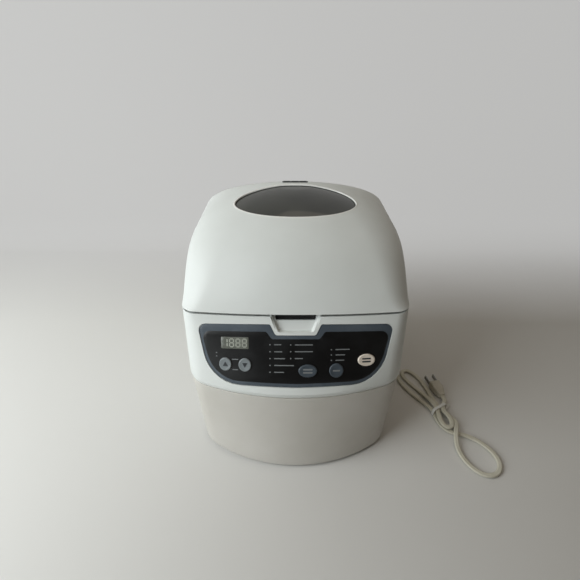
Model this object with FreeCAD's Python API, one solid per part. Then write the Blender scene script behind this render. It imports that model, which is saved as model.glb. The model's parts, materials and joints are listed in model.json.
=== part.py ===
import FreeCAD, Part
import math
import os
from collections import namedtuple

# Countertop bread machine with a vertical pan, in millimetres.
# +X is right as seen from the front, +Y is the back, +Z is up.
# The origin is on the table, under the middle of the machine.

V = FreeCAD.Vector

# Outer body
BODY_WIDTH = 258.0
BELT_NARROWING = 2.5
BASE_NARROWING = 5.5
BODY_BACK = 157.0
FRONT_BASE = -173.0
FRONT_BELT = -164.5
FRONT_SEAM = -120.0
BELT_Z = 117.0
SEAM_Z = 200.0
BASE_BOW = 190.0
BELT_BOW = 290.0
SEAM_BOW = 1100.0
BASE_CORNER = 47.0
BELT_CORNER = 34.0
SEAM_CORNER = 18.0
BACK_BOW = 1500.0
BACK_CORNER = 30.0
TUB_WALL = 2.8
UPPER_WALL = 2.6
HEEL = 2.5
EDGE = 0.8
BELT_GAP = 0.4
SEAM_GAP = 1.2
TONGUE_HEIGHT = 5.0
TONGUE_WALL = 2.0
DECK_THICKNESS = 3.0
DECK_DROP = 3.4

# Clearances
SLIP = 0.2
GAP = 0.3
RUNNING = 0.05

# Underside
FOOT_HEIGHT = 4.0
FOOT_RADIUS = 10.0
FOOT_X = 88.0
FOOT_FRONT = -105.0
FOOT_BACK = 128.0
TRAY_THICKNESS = 2.5
POST_RADIUS = 5.0
POST_X = 93.0
POST_FRONT = -78.0
POST_BACK = 134.0
SCREW_RADIUS = 1.8
SCREW_LENGTH = 9.0
HEAD_RADIUS = 3.4
HEAD_HEIGHT = 2.0
SLOT_COUNT = 7
SLOT_PITCH = 8.0
SLOT_WIDTH = 3.0
SLOT_HEIGHT = 34.0
SLOT_Z = 62.0
SLOT_X = -62.0

# Lid
LID_RISE = 99.0
LID_WALL = 2.6
CREST_Y = 30.0
SIDE_POWER = 4.8
SIDE_ROOT = 1.45
BACK_POWER = 1.3
BACK_ROOT = 1.4
CREST_CORNER = 0.51
CREST_BOW = 1.15
CREST_BACK_CORNER = 0.25
CREST_BACK_BOW = 3.0
CORNER_POWER = 0.6
REAR_POWER = 1.5
BOW_POWER = 0.6
LID_LEVELS = (0.0, 0.12, 0.25, 0.4, 0.55, 0.68, 0.79, 0.88, 0.94, 0.97, 0.985)
WINDOW_HALF_X = 72.7
WINDOW_HALF_Y = 32.7
WINDOW_Y = -9.2
WINDOW_RIM = 4.0
RIM_PROUD = 1.2
GLASS_SINK = 0.6
GLASS_THICKNESS = 2.6
GASKET_WIDTH = 4.0
GASKET_THICKNESS = 1.4
LINER_DEPTH = 9.0
LINER_WALL = 1.2
LINER_FLANGE = 1.2
LINER_LIFT = 0.4
INNER_GLASS_BORDER = 8.0
INNER_GLASS_THICKNESS = 2.4
VENT_LENGTH = 38.0
VENT_WIDTH = 12.0
VENT_Y = 37.0
VENT_SLOTS = 3
VENT_BAR = 2.0
VENT_PROUD = 0.8
SEAL_INSET = 4.2
SEAL_WIDTH = 4.8
HINGE_Y = 163.5
HINGE_RISE = 4.0
HINGE_X = 70.0
HINGE_RADIUS = 5.5
PIN_RADIUS = 2.5
LUG_WIDTH = 14.0
EAR_WIDTH = 8.0
EAR_DROP = 24.0
BRACKET_DROP = 34.0
BRACKET_THICKNESS = 4.0

# Control panel, measured down the slanted front from the seam
PANEL_TOP = 9.8
PANEL_BOTTOM = 77.5
PANEL_SAG = 2.2
PANEL_TOP_HALF = 109.5
PANEL_BOTTOM_HALF = 96.5
PANEL_TOP_CORNER = 9.0
PANEL_BOTTOM_CORNER = 42.0
PANEL_PROUD = 0.7
PANEL_SINK = 1.2
BORDER_TOP = 8.0
BORDER_SIDE = 4.0
FACE_PROUD = 0.3
POCKET_TOP_HALF = 26.3
POCKET_BOTTOM_HALF = 18.5
POCKET_HEIGHT = 18.0
POCKET_LIP = 4.0
NOTCH_FLARE = 6.0
POCKET_DEPTH = 13.0
POCKET_WALL = 2.0
DISPLAY_X = -67.5
DISPLAY_DOWN = 30.8
DISPLAY_WIDTH = 31.0
DISPLAY_HEIGHT = 13.3
DISPLAY_CORNER = 1.2
MODULE_MARGIN = 2.5
MODULE_DEPTH = 11.5
KEY_PROUD = 1.7
KEY_CLEARANCE = 0.3
KEY_FLANGE = 1.5
KEY_FLANGE_THICKNESS = 1.5
KEY_DEPTH = 15.0
KEY_TRAVEL = 0.8
KEY_STOP = 0.2
SWITCH_HEIGHT = 3.6
SWITCH_SIZE = 6.0
BOARD_THICKNESS = 1.6
BOARD_HALF = 93.0
BOARD_TOP = 24.0
BOARD_BOTTOM = 76.0
BOSS_RADIUS = 3.5
BOSS_X = 89.5
BOSS_MARGIN = 5.0

# Each key: distance right of centre, distance down the front, half width, half height
KEYS = {
    "key_up": (-78.5, 55.2, 7.8, 7.8),
    "key_down": (-56.3, 55.2, 7.8, 7.8),
    "key_select": (13.4, 61.0, 10.4, 7.2),
    "key_colour": (45.1, 61.0, 8.0, 8.0),
    "key_start": (79.0, 50.3, 10.0, 7.0),
}

# Oven
PAN_Y = 5.0
CHAMBER_HALF_X = 88.0
CHAMBER_HALF_Y = 80.0
CHAMBER_CORNER = 20.0
CHAMBER_WALL = 1.0
CHAMBER_FLOOR = 44.0
CHAMBER_FLANGE = 8.0
SHIELD_GAP = 9.0
SHIELD_THICKNESS = 0.8
SHIELD_HALF = 92.0
ELEMENT_RADIUS = 3.0
ELEMENT_INSET = 6.5
ELEMENT_BEND = 18.0
ELEMENT_RISE = 22.0
ELEMENT_TAIL = 14.0
ELEMENT_OUT = 10.0
INSULATOR_RADIUS = 5.0
INSULATOR_FLANGE = 7.0
INSULATOR_IN = 1.5
SENSOR_RADIUS = 3.5
SENSOR_Z = 120.0
SENSOR_REACH = 5.5
FUSE_RADIUS = 3.0
FUSE_LENGTH = 22.0
FUSE_Z = 150.0

# Bread pan
PAN_HALF_X = 75.0
PAN_HALF_Y = 65.0
PAN_CORNER = 18.0
PAN_WALL = 1.5
PAN_FLOOR_Z = 62.0
PAN_RIM_Z = 190.0
PAN_RIM = 3.5
PAN_RIM_THICKNESS = 2.0
EAR_HALF = 8.0
EAR_TALL = 9.0
BAIL_RADIUS = 2.5
BAIL_RISE = 4.5
BAIL_REACH = 60.0
BAIL_OUT = 5.0
BAIL_HEEL = 3.0
BAIL_PIN = 2.0
BAIL_BEND = 16.0
BASE_RING_RADIUS = 34.6
BASE_RING_WALL = 4.6
BASE_RING_DROP = 10.0
SEAT_RADIUS = 38.0
SEAT_WALL = 3.0
SEAT_HEIGHT = 13.0
BUSH_RADIUS = 9.0
BUSH_FLANGE = 13.0
BUSH_FLANGE_THICKNESS = 2.0
NUT_THICKNESS = 1.0
WING_HALF = 13.0
WING_WIDTH = 6.0
WING_HEIGHT = 5.0
PADDLE_HUB = 10.0
PADDLE_HUB_HEIGHT = 18.0
PADDLE_REACH = 46.0
PADDLE_THICKNESS = 6.0
PADDLE_HEIGHT = 30.0
SHAFT_RADIUS = 4.0
SHAFT_FLAT = 3.0

# Drive
CHASSIS_Z = 30.0
CHASSIS_THICKNESS = 2.0
CHASSIS_HALF = 100.0
CHASSIS_FRONT = -95.0
CHASSIS_BACK = 149.0
HUB_RADIUS = 14.0
HUB_FLANGE = 24.0
HUB_FLANGE_THICKNESS = 3.0
HUB_NECK = 12.0
HUB_RISE = 5.0
BEARING_RADIUS = 8.0
BEARING_LENGTH = 7.0
COUPLER_RADIUS = 14.0
COUPLER_THICKNESS = 3.5
DOG_INNER = 8.0
DOG_OUTER = 13.0
DOG_HEIGHT = 6.0
DOG_SWEEP = 50.0
DRIVE_CLEARANCE = 0.5
PULLEY_Z = 15.0
PULLEY_WIDTH = 12.0
PULLEY_FLANGE = 1.5
FLANGE_LIP = 2.6
LARGE_PULLEY_RADIUS = 38.0
SMALL_PULLEY_RADIUS = 8.0
BELT_THICKNESS = 2.4
BELT_SIDE_GAP = 0.5
MOTOR_X = -60.0
MOTOR_Y = 119.0
MOTOR_HALF = 28.0
MOTOR_CORNER = 8.0
MOTOR_HEIGHT = 52.0
MOTOR_CAP_RADIUS = 22.0
MOTOR_CAP_HEIGHT = 9.0
MOTOR_SHAFT_RADIUS = 3.0
MOTOR_SHAFT_TOP = 4.0
BRACKET_PLATE = 2.0
BRACKET_HALF = 28.0

# Power electronics
POWER_Z = 40.0
POWER_HALF = 66.0
POWER_FRONT = -146.0
POWER_BACK = -98.0
STANDOFF_RADIUS = 4.0
STANDOFF_MARGIN = 6.0
TRANSFORMER = (34.0, 30.0, 30.0)
TRANSFORMER_X = -38.0
RELAY = (20.0, 16.0, 16.0)
RELAY_X = 6.0
PART_CORNER = 2.0
CAPACITOR_RADIUS = 8.0
CAPACITOR_HEIGHT = 24.0
CAPACITOR_X = 36.0

# Mains lead, a limp flat twin cord drawn as one round of the same section
CORD_DIAMETER = 5.0
RELIEF_X = 100.0
RELIEF_Z = 22.0
RELIEF_RADIUS = 6.0
RELIEF_TIP = 4.0
RELIEF_FLANGE = 9.0
RELIEF_FLANGE_THICKNESS = 2.5
RELIEF_LENGTH = 22.0
RELIEF_INSIDE = 4.0
PLUG_LENGTH = 26.0
PLUG_HALF_WIDTH = 8.0
PLUG_HALF_THICKNESS = 6.5
PLUG_NECK = 3.6
BLADE_LENGTH = 15.0
BLADE_WIDTH = 6.3
BLADE_THICKNESS = 1.5
BLADE_SPACING = 12.7
TIE_WIDTH = 4.0
TIE_THICKNESS = 0.6
TIE_TAIL = 15.0

# The lead leaves the back at the right, comes round to the right of the machine on the table
LEAD_ROUTE = (
    (100.0, 179.0, 22.0), (100.0, 192.0, 22.0), (104.0, 207.0, 17.5), (112.0, 221.0, 10.5),
    (124.0, 231.0, 5.0), (139.0, 236.0, 2.8), (155.0, 234.0, 2.6), (168.0, 225.0, 2.6),
    (177.0, 211.0, 2.6), (181.5, 194.0, 2.6), (182.5, 175.0, 2.6), (181.5, 153.0, 2.6),
    (179.3, 130.0, 2.6), (176.4, 106.0, 2.6), (173.2, 82.0, 2.6), (170.2, 57.0, 2.6),
    (167.2, 33.0, 2.6), (164.8, 10.0, 2.6), (163.5, -10.0, 2.6), (165.5, -30.0, 2.6),
    (173.5, -48.5, 2.6), (183.0, -61.0, 2.6),
)
# The hank: through the tie, round the long loop, back through the tie, round the upper loop,
# a third time through the tie, round the short loop on top and out to the plug
HANK_ROUTE = (
    (183.0, -61.0, 2.6), (192.5, -73.5, 2.6), (200.0, -86.0, 3.6), (201.0, -100.0, 2.8),
    (204.0, -113.0, 2.6), (212.5, -122.5, 2.6), (225.0, -125.5, 2.6), (238.0, -130.5, 2.6),
    (249.5, -140.0, 2.6), (258.0, -152.5, 2.6), (260.5, -166.5, 2.6), (255.5, -178.5, 2.6),
    (245.0, -185.0, 2.6), (233.0, -184.0, 2.6), (223.0, -175.5, 2.6), (216.5, -163.0, 2.6),
    (213.5, -148.5, 3.4), (215.0, -134.5, 7.4), (220.0, -122.0, 8.6), (225.5, -109.0, 6.4),
    (220.5, -96.0, 3.8), (211.5, -84.5, 3.6), (207.0, -69.0, 2.8), (204.5, -54.0, 2.6),
    (202.0, -39.0, 2.6), (198.0, -25.0, 2.6), (191.0, -12.5, 2.6), (181.5, -5.5, 2.6),
    (173.0, -10.0, 2.6), (173.5, -21.5, 2.6), (180.5, -34.0, 2.6), (189.0, -47.0, 2.6),
    (196.5, -60.5, 4.4), (202.0, -74.0, 8.2), (204.5, -87.5, 9.6), (203.5, -99.0, 8.8),
    (203.5, -109.5, 8.4), (206.5, -118.0, 8.4), (215.0, -118.5, 8.4), (218.3, -110.0, 8.6),
    (216.5, -100.0, 9.4), (211.5, -91.0, 9.8), (214.8, -82.0, 9.6), (219.5, -75.0, 8.2),
    (221.7, -69.0, 7.0), (220.5, -63.0, 7.0),
)
TIE_CENTRE = (207.9, -86.9)
TIE_ALONG = (0.5, -0.866)
TIE_HALF_SPAN = 13.3
TIE_TOP = 13.4

# Sizes that follow from those above
HALF = BODY_WIDTH / 2
RIM_Z = SEAM_Z - SEAM_GAP / 2
LID_Z = SEAM_Z + SEAM_GAP / 2
TUB_TOP = BELT_Z - BELT_GAP / 2
UPPER_FOOT = BELT_Z + BELT_GAP / 2
DECK_TOP = RIM_Z - DECK_DROP
TRAY_TOP = FOOT_HEIGHT + TRAY_THICKNESS
HINGE_Z = SEAM_Z + HINGE_RISE
CHAMBER_TOP = DECK_TOP
CHASSIS_TOP = CHASSIS_Z + CHASSIS_THICKNESS
SWITCH_TOP = KEY_DEPTH + KEY_TRAVEL + KEY_STOP
BOARD_DEPTH = SWITCH_TOP + SWITCH_HEIGHT
HUB_TOP = CHAMBER_FLOOR + CHAMBER_WALL + HUB_RISE
COUPLER_Z = HUB_TOP + 2 * DRIVE_CLEARANCE
WING_Z = COUPLER_Z + COUPLER_THICKNESS + DRIVE_CLEARANCE
BAIL_Z = PAN_RIM_Z + BAIL_RISE
CORD_RADIUS = CORD_DIAMETER / 2
LEAN = math.atan2(FRONT_SEAM - FRONT_BELT, SEAM_Z - BELT_Z)
INWARD = V(0, math.cos(LEAN), -math.sin(LEAN))
FACET = FreeCAD.Placement(
    V(0, FRONT_SEAM, SEAM_Z),
    FreeCAD.Rotation(V(1, 0, 0), 90 - math.degrees(LEAN)),
)

Plan = namedtuple("Plan", "half front back bow corner back_bow back_corner")
BASE_PLAN = Plan(HALF - BASE_NARROWING, FRONT_BASE, BODY_BACK, BASE_BOW, BASE_CORNER, BACK_BOW, BACK_CORNER)
BELT_PLAN = Plan(HALF - BELT_NARROWING, FRONT_BELT, BODY_BACK, BELT_BOW, BELT_CORNER, BACK_BOW, BACK_CORNER)
SEAM_PLAN = Plan(HALF, FRONT_SEAM, BODY_BACK, SEAM_BOW, SEAM_CORNER, BACK_BOW, BACK_CORNER)

nodes = {}


# Basic shapes
def line(a, b):
    return Part.LineSegment(a, b).toShape()


def arc(x, y, radius, start, end, z):
    """Arc at height z; angles run from the front, counter-clockwise seen from above."""
    def at(angle):
        return V(x + radius * math.sin(angle), y - radius * math.cos(angle), z)
    return Part.Arc(at(start), at((start + end) / 2), at(end)).toShape()


def cylinder(radius, x, y, low, high):
    return Part.makeCylinder(radius, high - low, V(x, y, low))


def cylinder_x(radius, low, high, y, z):
    return Part.makeCylinder(radius, high - low, V(low, y, z), V(1, 0, 0))


def cylinder_y(radius, x, low, high, z):
    return Part.makeCylinder(radius, high - low, V(x, low, z), V(0, 1, 0))


def ring(outer, inner, x, y, low, high):
    return cylinder(outer, x, y, low, high).cut(cylinder(inner, x, y, low, high))


def block(low, high):
    return Part.makeBox(high[0] - low[0], high[1] - low[1], high[2] - low[2], V(*low))


def prism(wire, height):
    return Part.Face(wire).extrude(V(0, 0, height))


def outline(corners, z=0.0):
    """Closed outline in a level plane from (x, y, radius) corners."""
    edges = []
    ends = []
    count = len(corners)
    for i in range(count):
        before = V(*corners[i - 1][:2], z)
        here = V(*corners[i][:2], z)
        after = V(*corners[(i + 1) % count][:2], z)
        radius = corners[i][2]
        back = (before - here).normalize()
        on = (after - here).normalize()
        half = back.getAngle(on) / 2
        reach = radius / math.tan(half) if radius else 0.0
        middle = (back + on).normalize() * (radius / math.sin(half) - radius)
        ends.append((here + back * reach, here + middle, here + on * reach))
    for i in range(count):
        first, middle, last = ends[i]
        if corners[i][2]:
            edges.append(Part.Arc(first, middle, last).toShape())
        edges.append(line(last, ends[(i + 1) % count][0]))
    return Part.Wire(edges)


def rounded_block(half_x, half_y, corner, low, high, y=0.0, x=0.0):
    corners = [(x + sx * half_x, y + sy * half_y, corner)
               for sx, sy in ((-1, -1), (1, -1), (1, 1), (-1, 1))]
    return prism(outline(corners, low), high - low)


def oval(half_x, half_y, y, low, high, x=0.0):
    """Upright elliptical prism; the longer half size may lie along either axis."""
    if half_x == half_y:
        return cylinder(half_x, x, y, low, high)
    curve = Part.Ellipse(V(x, y, low), max(half_x, half_y), min(half_x, half_y))
    wire = Part.Wire(curve.toShape())
    if half_y > half_x:
        wire.rotate(V(x, y, low), V(0, 0, 1), 90)
    return prism(wire, high - low)


def bent_wire(points, bends=None):
    """Straight runs joined by tangent arcs; each arc is as large as its runs allow, or its given bend."""
    spots = [V(*p) for p in points]
    edges = []
    radii = []
    start = spots[0]
    for i, (before, here, after) in enumerate(zip(spots, spots[1:], spots[2:])):
        back = (before - here).normalize()
        on = (after - here).normalize()
        half_turn = (math.pi - back.getAngle(on)) / 2
        reach = 0.45 * min(before.distanceToPoint(here), here.distanceToPoint(after))
        if bends:
            reach = bends[i] * math.tan(half_turn)
        radius = reach / math.tan(half_turn)
        middle = (back + on).normalize() * (radius / math.cos(half_turn) - radius)
        edges.append(line(start, here + back * reach))
        edges.append(Part.Arc(here + back * reach, here + middle, here + on * reach).toShape())
        start = here + on * reach
        radii.append(radius)
    edges.append(line(start, spots[-1]))
    return Part.Wire(edges), radii


def tube(wire, radius):
    first = wire.Edges[0]
    start = first.valueAt(first.FirstParameter)
    ahead = first.tangentAt(first.FirstParameter)
    profile = Part.Wire(Part.Circle(start, ahead, radius).toShape())
    return wire.makePipeShell([profile], True, False)


# Body outline
def inset(plan, depth):
    return Plan(plan.half - depth, plan.front + depth, plan.back - depth, plan.bow - depth,
                plan.corner - depth, plan.back_bow - depth, plan.back_corner - depth)


def plan_wire(plan, z):
    """Closed plan outline: front bow, corners, sides, back bow."""
    front_y = plan.front + plan.bow
    back_y = plan.back - plan.back_bow
    corner_x = plan.half - plan.corner
    rear_x = plan.half - plan.back_corner
    corner_y = front_y - math.sqrt((plan.bow - plan.corner) ** 2 - corner_x ** 2)
    rear_y = back_y + math.sqrt((plan.back_bow - plan.back_corner) ** 2 - rear_x ** 2)
    turn = math.asin(corner_x / (plan.bow - plan.corner))
    rear_turn = math.pi - math.asin(rear_x / (plan.back_bow - plan.back_corner))
    right = math.pi / 2
    return Part.Wire([
        arc(0, front_y, plan.bow, -turn, turn, z),
        arc(corner_x, corner_y, plan.corner, turn, right, z),
        line(V(plan.half, corner_y, z), V(plan.half, rear_y, z)),
        arc(rear_x, rear_y, plan.back_corner, right, rear_turn, z),
        arc(0, back_y, plan.back_bow, rear_turn, 2 * math.pi - rear_turn, z),
        arc(-rear_x, rear_y, plan.back_corner, -rear_turn, -right, z),
        line(V(-plan.half, rear_y, z), V(-plan.half, corner_y, z)),
        arc(-corner_x, corner_y, plan.corner, -right, -turn, z),
    ])


def loft(sections, ruled=True):
    return Part.makeLoft([plan_wire(plan, z) for plan, z in sections], True, ruled)


def tub(depth, over=0.0):
    """Lower body, set in from its outside by a depth; over lengthens it at both ends."""
    return loft([
        (inset(BASE_PLAN, depth + HEEL), FOOT_HEIGHT - over),
        (inset(BASE_PLAN, depth), FOOT_HEIGHT + HEEL),
        (inset(BELT_PLAN, depth), TUB_TOP + over),
    ])


def upper(depth, edge=EDGE, over=0.0):
    """Upper body with its slanted front, set in from its outside by a depth."""
    return loft([
        (inset(BELT_PLAN, depth + edge), UPPER_FOOT - over),
        (inset(BELT_PLAN, depth), UPPER_FOOT + EDGE),
        (inset(SEAM_PLAN, depth), RIM_Z - EDGE),
        (inset(SEAM_PLAN, depth + edge), RIM_Z + over),
    ])


def skin(depth):
    """The slanted front's surface carried on past both ends, set in by a depth."""
    return upper(depth, 0.0)


def dome_plan(share, depth):
    """Plan of the lid at a share of its rise, set in by a depth."""
    half = HALF - depth
    front = FRONT_SEAM + depth
    back = BODY_BACK - depth
    width = half * (1 - share ** SIDE_POWER) ** (1 / SIDE_ROOT)
    # The front carries the slant on in one arc that lies level at the crest.
    run, rise = CREST_Y - front, LID_RISE - depth
    arc = (run ** 2 + rise ** 2) / (2 * rise)
    nose = CREST_Y - math.sqrt(max(0.0, arc ** 2 - (arc - rise + share * rise) ** 2))
    tail = CREST_Y + (back - CREST_Y) * (1 - share ** BACK_POWER) ** (1 / BACK_ROOT)
    side_corner = SEAM_CORNER - depth
    back_corner = BACK_CORNER - depth
    corner = side_corner + (CREST_CORNER * width - side_corner) * share ** CORNER_POWER
    rear = back_corner + (CREST_BACK_CORNER * width - back_corner) * share ** REAR_POWER
    bow = SEAM_BOW / HALF + (CREST_BOW - SEAM_BOW / HALF) * share ** BOW_POWER
    back_bow = BACK_BOW / HALF + (CREST_BACK_BOW - BACK_BOW / HALF) * share ** BOW_POWER
    return Plan(width, nose, tail, bow * width, corner, back_bow * width, rear)


def dome(depth):
    """Solid of the lid's outside, set in by a depth all over."""
    rise = LID_RISE - depth
    return loft([(dome_plan(s, depth), LID_Z + s * rise) for s in LID_LEVELS], False)


def band(shape, outer, inner):
    """The part of a shape that lies between two depths under the lid's outside."""
    return shape.common(dome(outer)).cut(dome(inner))


def on_facet(shape):
    """Put a shape drawn level, with y up the slope and z outwards, on the slanted front."""
    placed = shape.copy()
    placed.Placement = FACET.multiply(shape.Placement)
    return placed


def facet_prism(corners, outside, inside):
    return on_facet(prism(outline(corners, -inside), outside + inside))


# Pieces of the slanted front, as tools to cut or trim with
OUTSIDE = 8.0
INSIDE = 26.0


def panel_corners(margin_top, margin_side):
    """Outline of the control panel, with its notch below the finger pocket."""
    top = -(PANEL_TOP + margin_top)
    bottom = -(PANEL_BOTTOM - margin_side)
    notch = -(POCKET_HEIGHT + POCKET_LIP + margin_side)
    narrow = POCKET_BOTTOM_HALF + POCKET_LIP + margin_side
    wide = narrow + NOTCH_FLARE
    upper_half = PANEL_TOP_HALF - margin_side
    lower_half = PANEL_BOTTOM_HALF - margin_side
    corner = PANEL_TOP_CORNER - max(margin_side, 0) / 2
    big = PANEL_BOTTOM_CORNER - margin_side
    return [
        (-upper_half, top, corner), (-lower_half, bottom, big), (0, bottom - PANEL_SAG, 0),
        (lower_half, bottom, big), (upper_half, top, corner),
        (wide, top, 1.5), (narrow, notch, 2.5), (-narrow, notch, 2.5), (-wide, top, 1.5),
    ]


def panel_tool(margin_top, margin_side):
    return facet_prism(panel_corners(margin_top, margin_side), OUTSIDE, INSIDE)


def pocket_tool(margin, depth):
    over = POCKET_HEIGHT / 2
    slope = (POCKET_TOP_HALF - POCKET_BOTTOM_HALF) / POCKET_HEIGHT
    top = POCKET_TOP_HALF + slope * over + margin
    low = POCKET_BOTTOM_HALF + margin
    corners = [(-top, over, 0), (-low, -POCKET_HEIGHT - margin, 3.0),
               (low, -POCKET_HEIGHT - margin, 3.0), (top, over, 0)]
    return facet_prism(corners, OUTSIDE, depth)


def key_tool(name, margin, outside=OUTSIDE, inside=INSIDE):
    x, down, half_width, half_height = KEYS[name]
    return on_facet(oval(half_width + margin, half_height + margin, -down, -inside, outside, x))


def display_tool(margin, outside=OUTSIDE, inside=INSIDE):
    return on_facet(rounded_block(DISPLAY_WIDTH / 2 + margin, DISPLAY_HEIGHT / 2 + margin,
                                  DISPLAY_CORNER, -inside, outside, -DISPLAY_DOWN, DISPLAY_X))


def boss_spots():
    rows = (BOARD_TOP + BOSS_MARGIN, BOARD_BOTTOM - BOSS_MARGIN)
    return [(sx * BOSS_X, -down) for sx in (-1, 1) for down in rows]


def chamber_block(margin, low, high):
    return rounded_block(CHAMBER_HALF_X + margin, CHAMBER_HALF_Y + margin,
                         CHAMBER_CORNER + margin, low, high, PAN_Y)


# Underside
def build_underside():
    tray = prism(plan_wire(inset(BASE_PLAN, TUB_WALL + HEEL + SLIP), FOOT_HEIGHT), TRAY_THICKNESS)
    posts = [(sx * POST_X, y) for sx in (-1, 1) for y in (POST_FRONT, POST_BACK)]
    stands = [(sx * (POWER_HALF - STANDOFF_MARGIN), y) for sx in (-1, 1)
              for y in (POWER_FRONT + STANDOFF_MARGIN, POWER_BACK - STANDOFF_MARGIN)]
    for x, y in posts:
        tray = tray.fuse(cylinder(POST_RADIUS, x, y, FOOT_HEIGHT, CHASSIS_Z))
    for x, y in stands:
        tray = tray.fuse(cylinder(STANDOFF_RADIUS, x, y, FOOT_HEIGHT, POWER_Z))
    screws = []
    for spots, seat, plate in ((posts, CHASSIS_Z, CHASSIS_THICKNESS),
                               (stands, POWER_Z, BOARD_THICKNESS)):
        for x, y in spots:
            shank = cylinder(SCREW_RADIUS, x, y, seat + plate - SCREW_LENGTH, seat + plate)
            head = cylinder(HEAD_RADIUS, x, y, seat + plate, seat + plate + HEAD_HEIGHT)
            tray = tray.cut(shank)
            screws.append(shank.fuse(head).removeSplitter())
    nodes["base_tray"] = tray.removeSplitter()
    nodes["chassis_screws"] = Part.makeCompound(screws)
    spots = [(sx * FOOT_X, y) for sx in (-1, 1) for y in (FOOT_FRONT, FOOT_BACK)]
    nodes["rubber_feet"] = Part.makeCompound(
        [Part.makeCone(FOOT_RADIUS - 1, FOOT_RADIUS, FOOT_HEIGHT, V(x, y, 0)) for x, y in spots])
    plate = block((-CHASSIS_HALF, CHASSIS_FRONT, CHASSIS_Z), (CHASSIS_HALF, CHASSIS_BACK, CHASSIS_TOP))
    plate = plate.cut(cylinder(BEARING_RADIUS, 0, PAN_Y, CHASSIS_Z, CHASSIS_TOP))
    plate = plate.cut(cylinder(SMALL_PULLEY_RADIUS, MOTOR_X, MOTOR_Y, CHASSIS_Z, CHASSIS_TOP))
    for x, y in posts:
        plate = plate.cut(cylinder(SCREW_RADIUS, x, y, CHASSIS_Z, CHASSIS_TOP))
    nodes["chassis_plate"] = plate
    board = block((-POWER_HALF, POWER_FRONT, POWER_Z), (POWER_HALF, POWER_BACK, POWER_Z + BOARD_THICKNESS))
    for x, y in stands:
        board = board.cut(cylinder(SCREW_RADIUS, x, y, POWER_Z, POWER_Z + BOARD_THICKNESS))
    nodes["power_board"] = board


def build_power_parts():
    seat = POWER_Z + BOARD_THICKNESS
    middle = (POWER_FRONT + POWER_BACK) / 2
    pieces = [cylinder(CAPACITOR_RADIUS, CAPACITOR_X, middle, seat, seat + CAPACITOR_HEIGHT)]
    for size, x in ((TRANSFORMER, TRANSFORMER_X), (RELAY, RELAY_X)):
        wide, deep, tall = size
        pieces.append(rounded_block(wide / 2, deep / 2, PART_CORNER, seat, seat + tall, middle, x))
    nodes["power_components"] = Part.makeCompound(pieces)


# Housings
def build_lower_housing():
    shell = tub(0).cut(tub(TUB_WALL, 1.0))
    for i in range(SLOT_COUNT):
        x = SLOT_X + (i - (SLOT_COUNT - 1) / 2) * SLOT_PITCH
        shell = shell.cut(block((x - SLOT_WIDTH / 2, BODY_BACK - 3 * TUB_WALL, SLOT_Z),
                                (x + SLOT_WIDTH / 2, BODY_BACK + TUB_WALL, SLOT_Z + SLOT_HEIGHT)))
    hole = cylinder_y(RELIEF_RADIUS + SLIP, RELIEF_X, BODY_BACK - 30, BODY_BACK + TUB_WALL, RELIEF_Z)
    nodes["lower_housing"] = shell.cut(hole)


def build_upper_housing():
    shell = upper(0).cut(upper(UPPER_WALL, 0.0, 1.0))
    ledge = TUB_WALL + SLIP + TONGUE_WALL
    foot = upper(EDGE).cut(upper(ledge + EDGE, 0.0, 1.0))
    low = block((-HALF, FRONT_BASE, UPPER_FOOT), (HALF, BODY_BACK, UPPER_FOOT + TONGUE_WALL))
    tongue = tub(TUB_WALL + SLIP, 1.0).cut(tub(ledge, 2.0))
    strip = block((-HALF, FRONT_BASE, UPPER_FOOT - TONGUE_HEIGHT), (HALF, BODY_BACK, UPPER_FOOT + EDGE))
    bosses = [on_facet(cylinder(BOSS_RADIUS, x, y, -BOARD_DEPTH, 0)).common(skin(PANEL_SINK + EDGE))
              for x, y in boss_spots()]
    shell = shell.multiFuse([foot.common(low), tongue.common(strip)] + bosses)
    recess = panel_tool(-SLIP, -SLIP).cut(skin(PANEL_SINK))
    cup_room = pocket_tool(POCKET_WALL + SLIP, POCKET_DEPTH + POCKET_WALL + SLIP)
    shell = shell.cut(recess).cut(cup_room)
    for name in KEYS:
        shell = shell.cut(key_tool(name, KEY_CLEARANCE, OUTSIDE, KEY_DEPTH - KEY_FLANGE_THICKNESS - GAP))
    shell = shell.cut(display_tool(-1.0, OUTSIDE, MODULE_DEPTH))
    nodes["upper_housing"] = shell.removeSplitter()
    cup = pocket_tool(POCKET_WALL, POCKET_DEPTH + POCKET_WALL).common(skin(0))
    nodes["pocket_cup"] = cup.cut(pocket_tool(0.0, POCKET_DEPTH))
    deck_foot = DECK_TOP - DECK_THICKNESS
    deck = skin(UPPER_WALL + SLIP).common(block((-HALF, FRONT_BASE, deck_foot), (HALF, BODY_BACK, DECK_TOP)))
    deck = deck.cut(chamber_block(CHAMBER_WALL, deck_foot, DECK_TOP))
    nodes["top_deck"] = deck.cut(cup_room)


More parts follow.
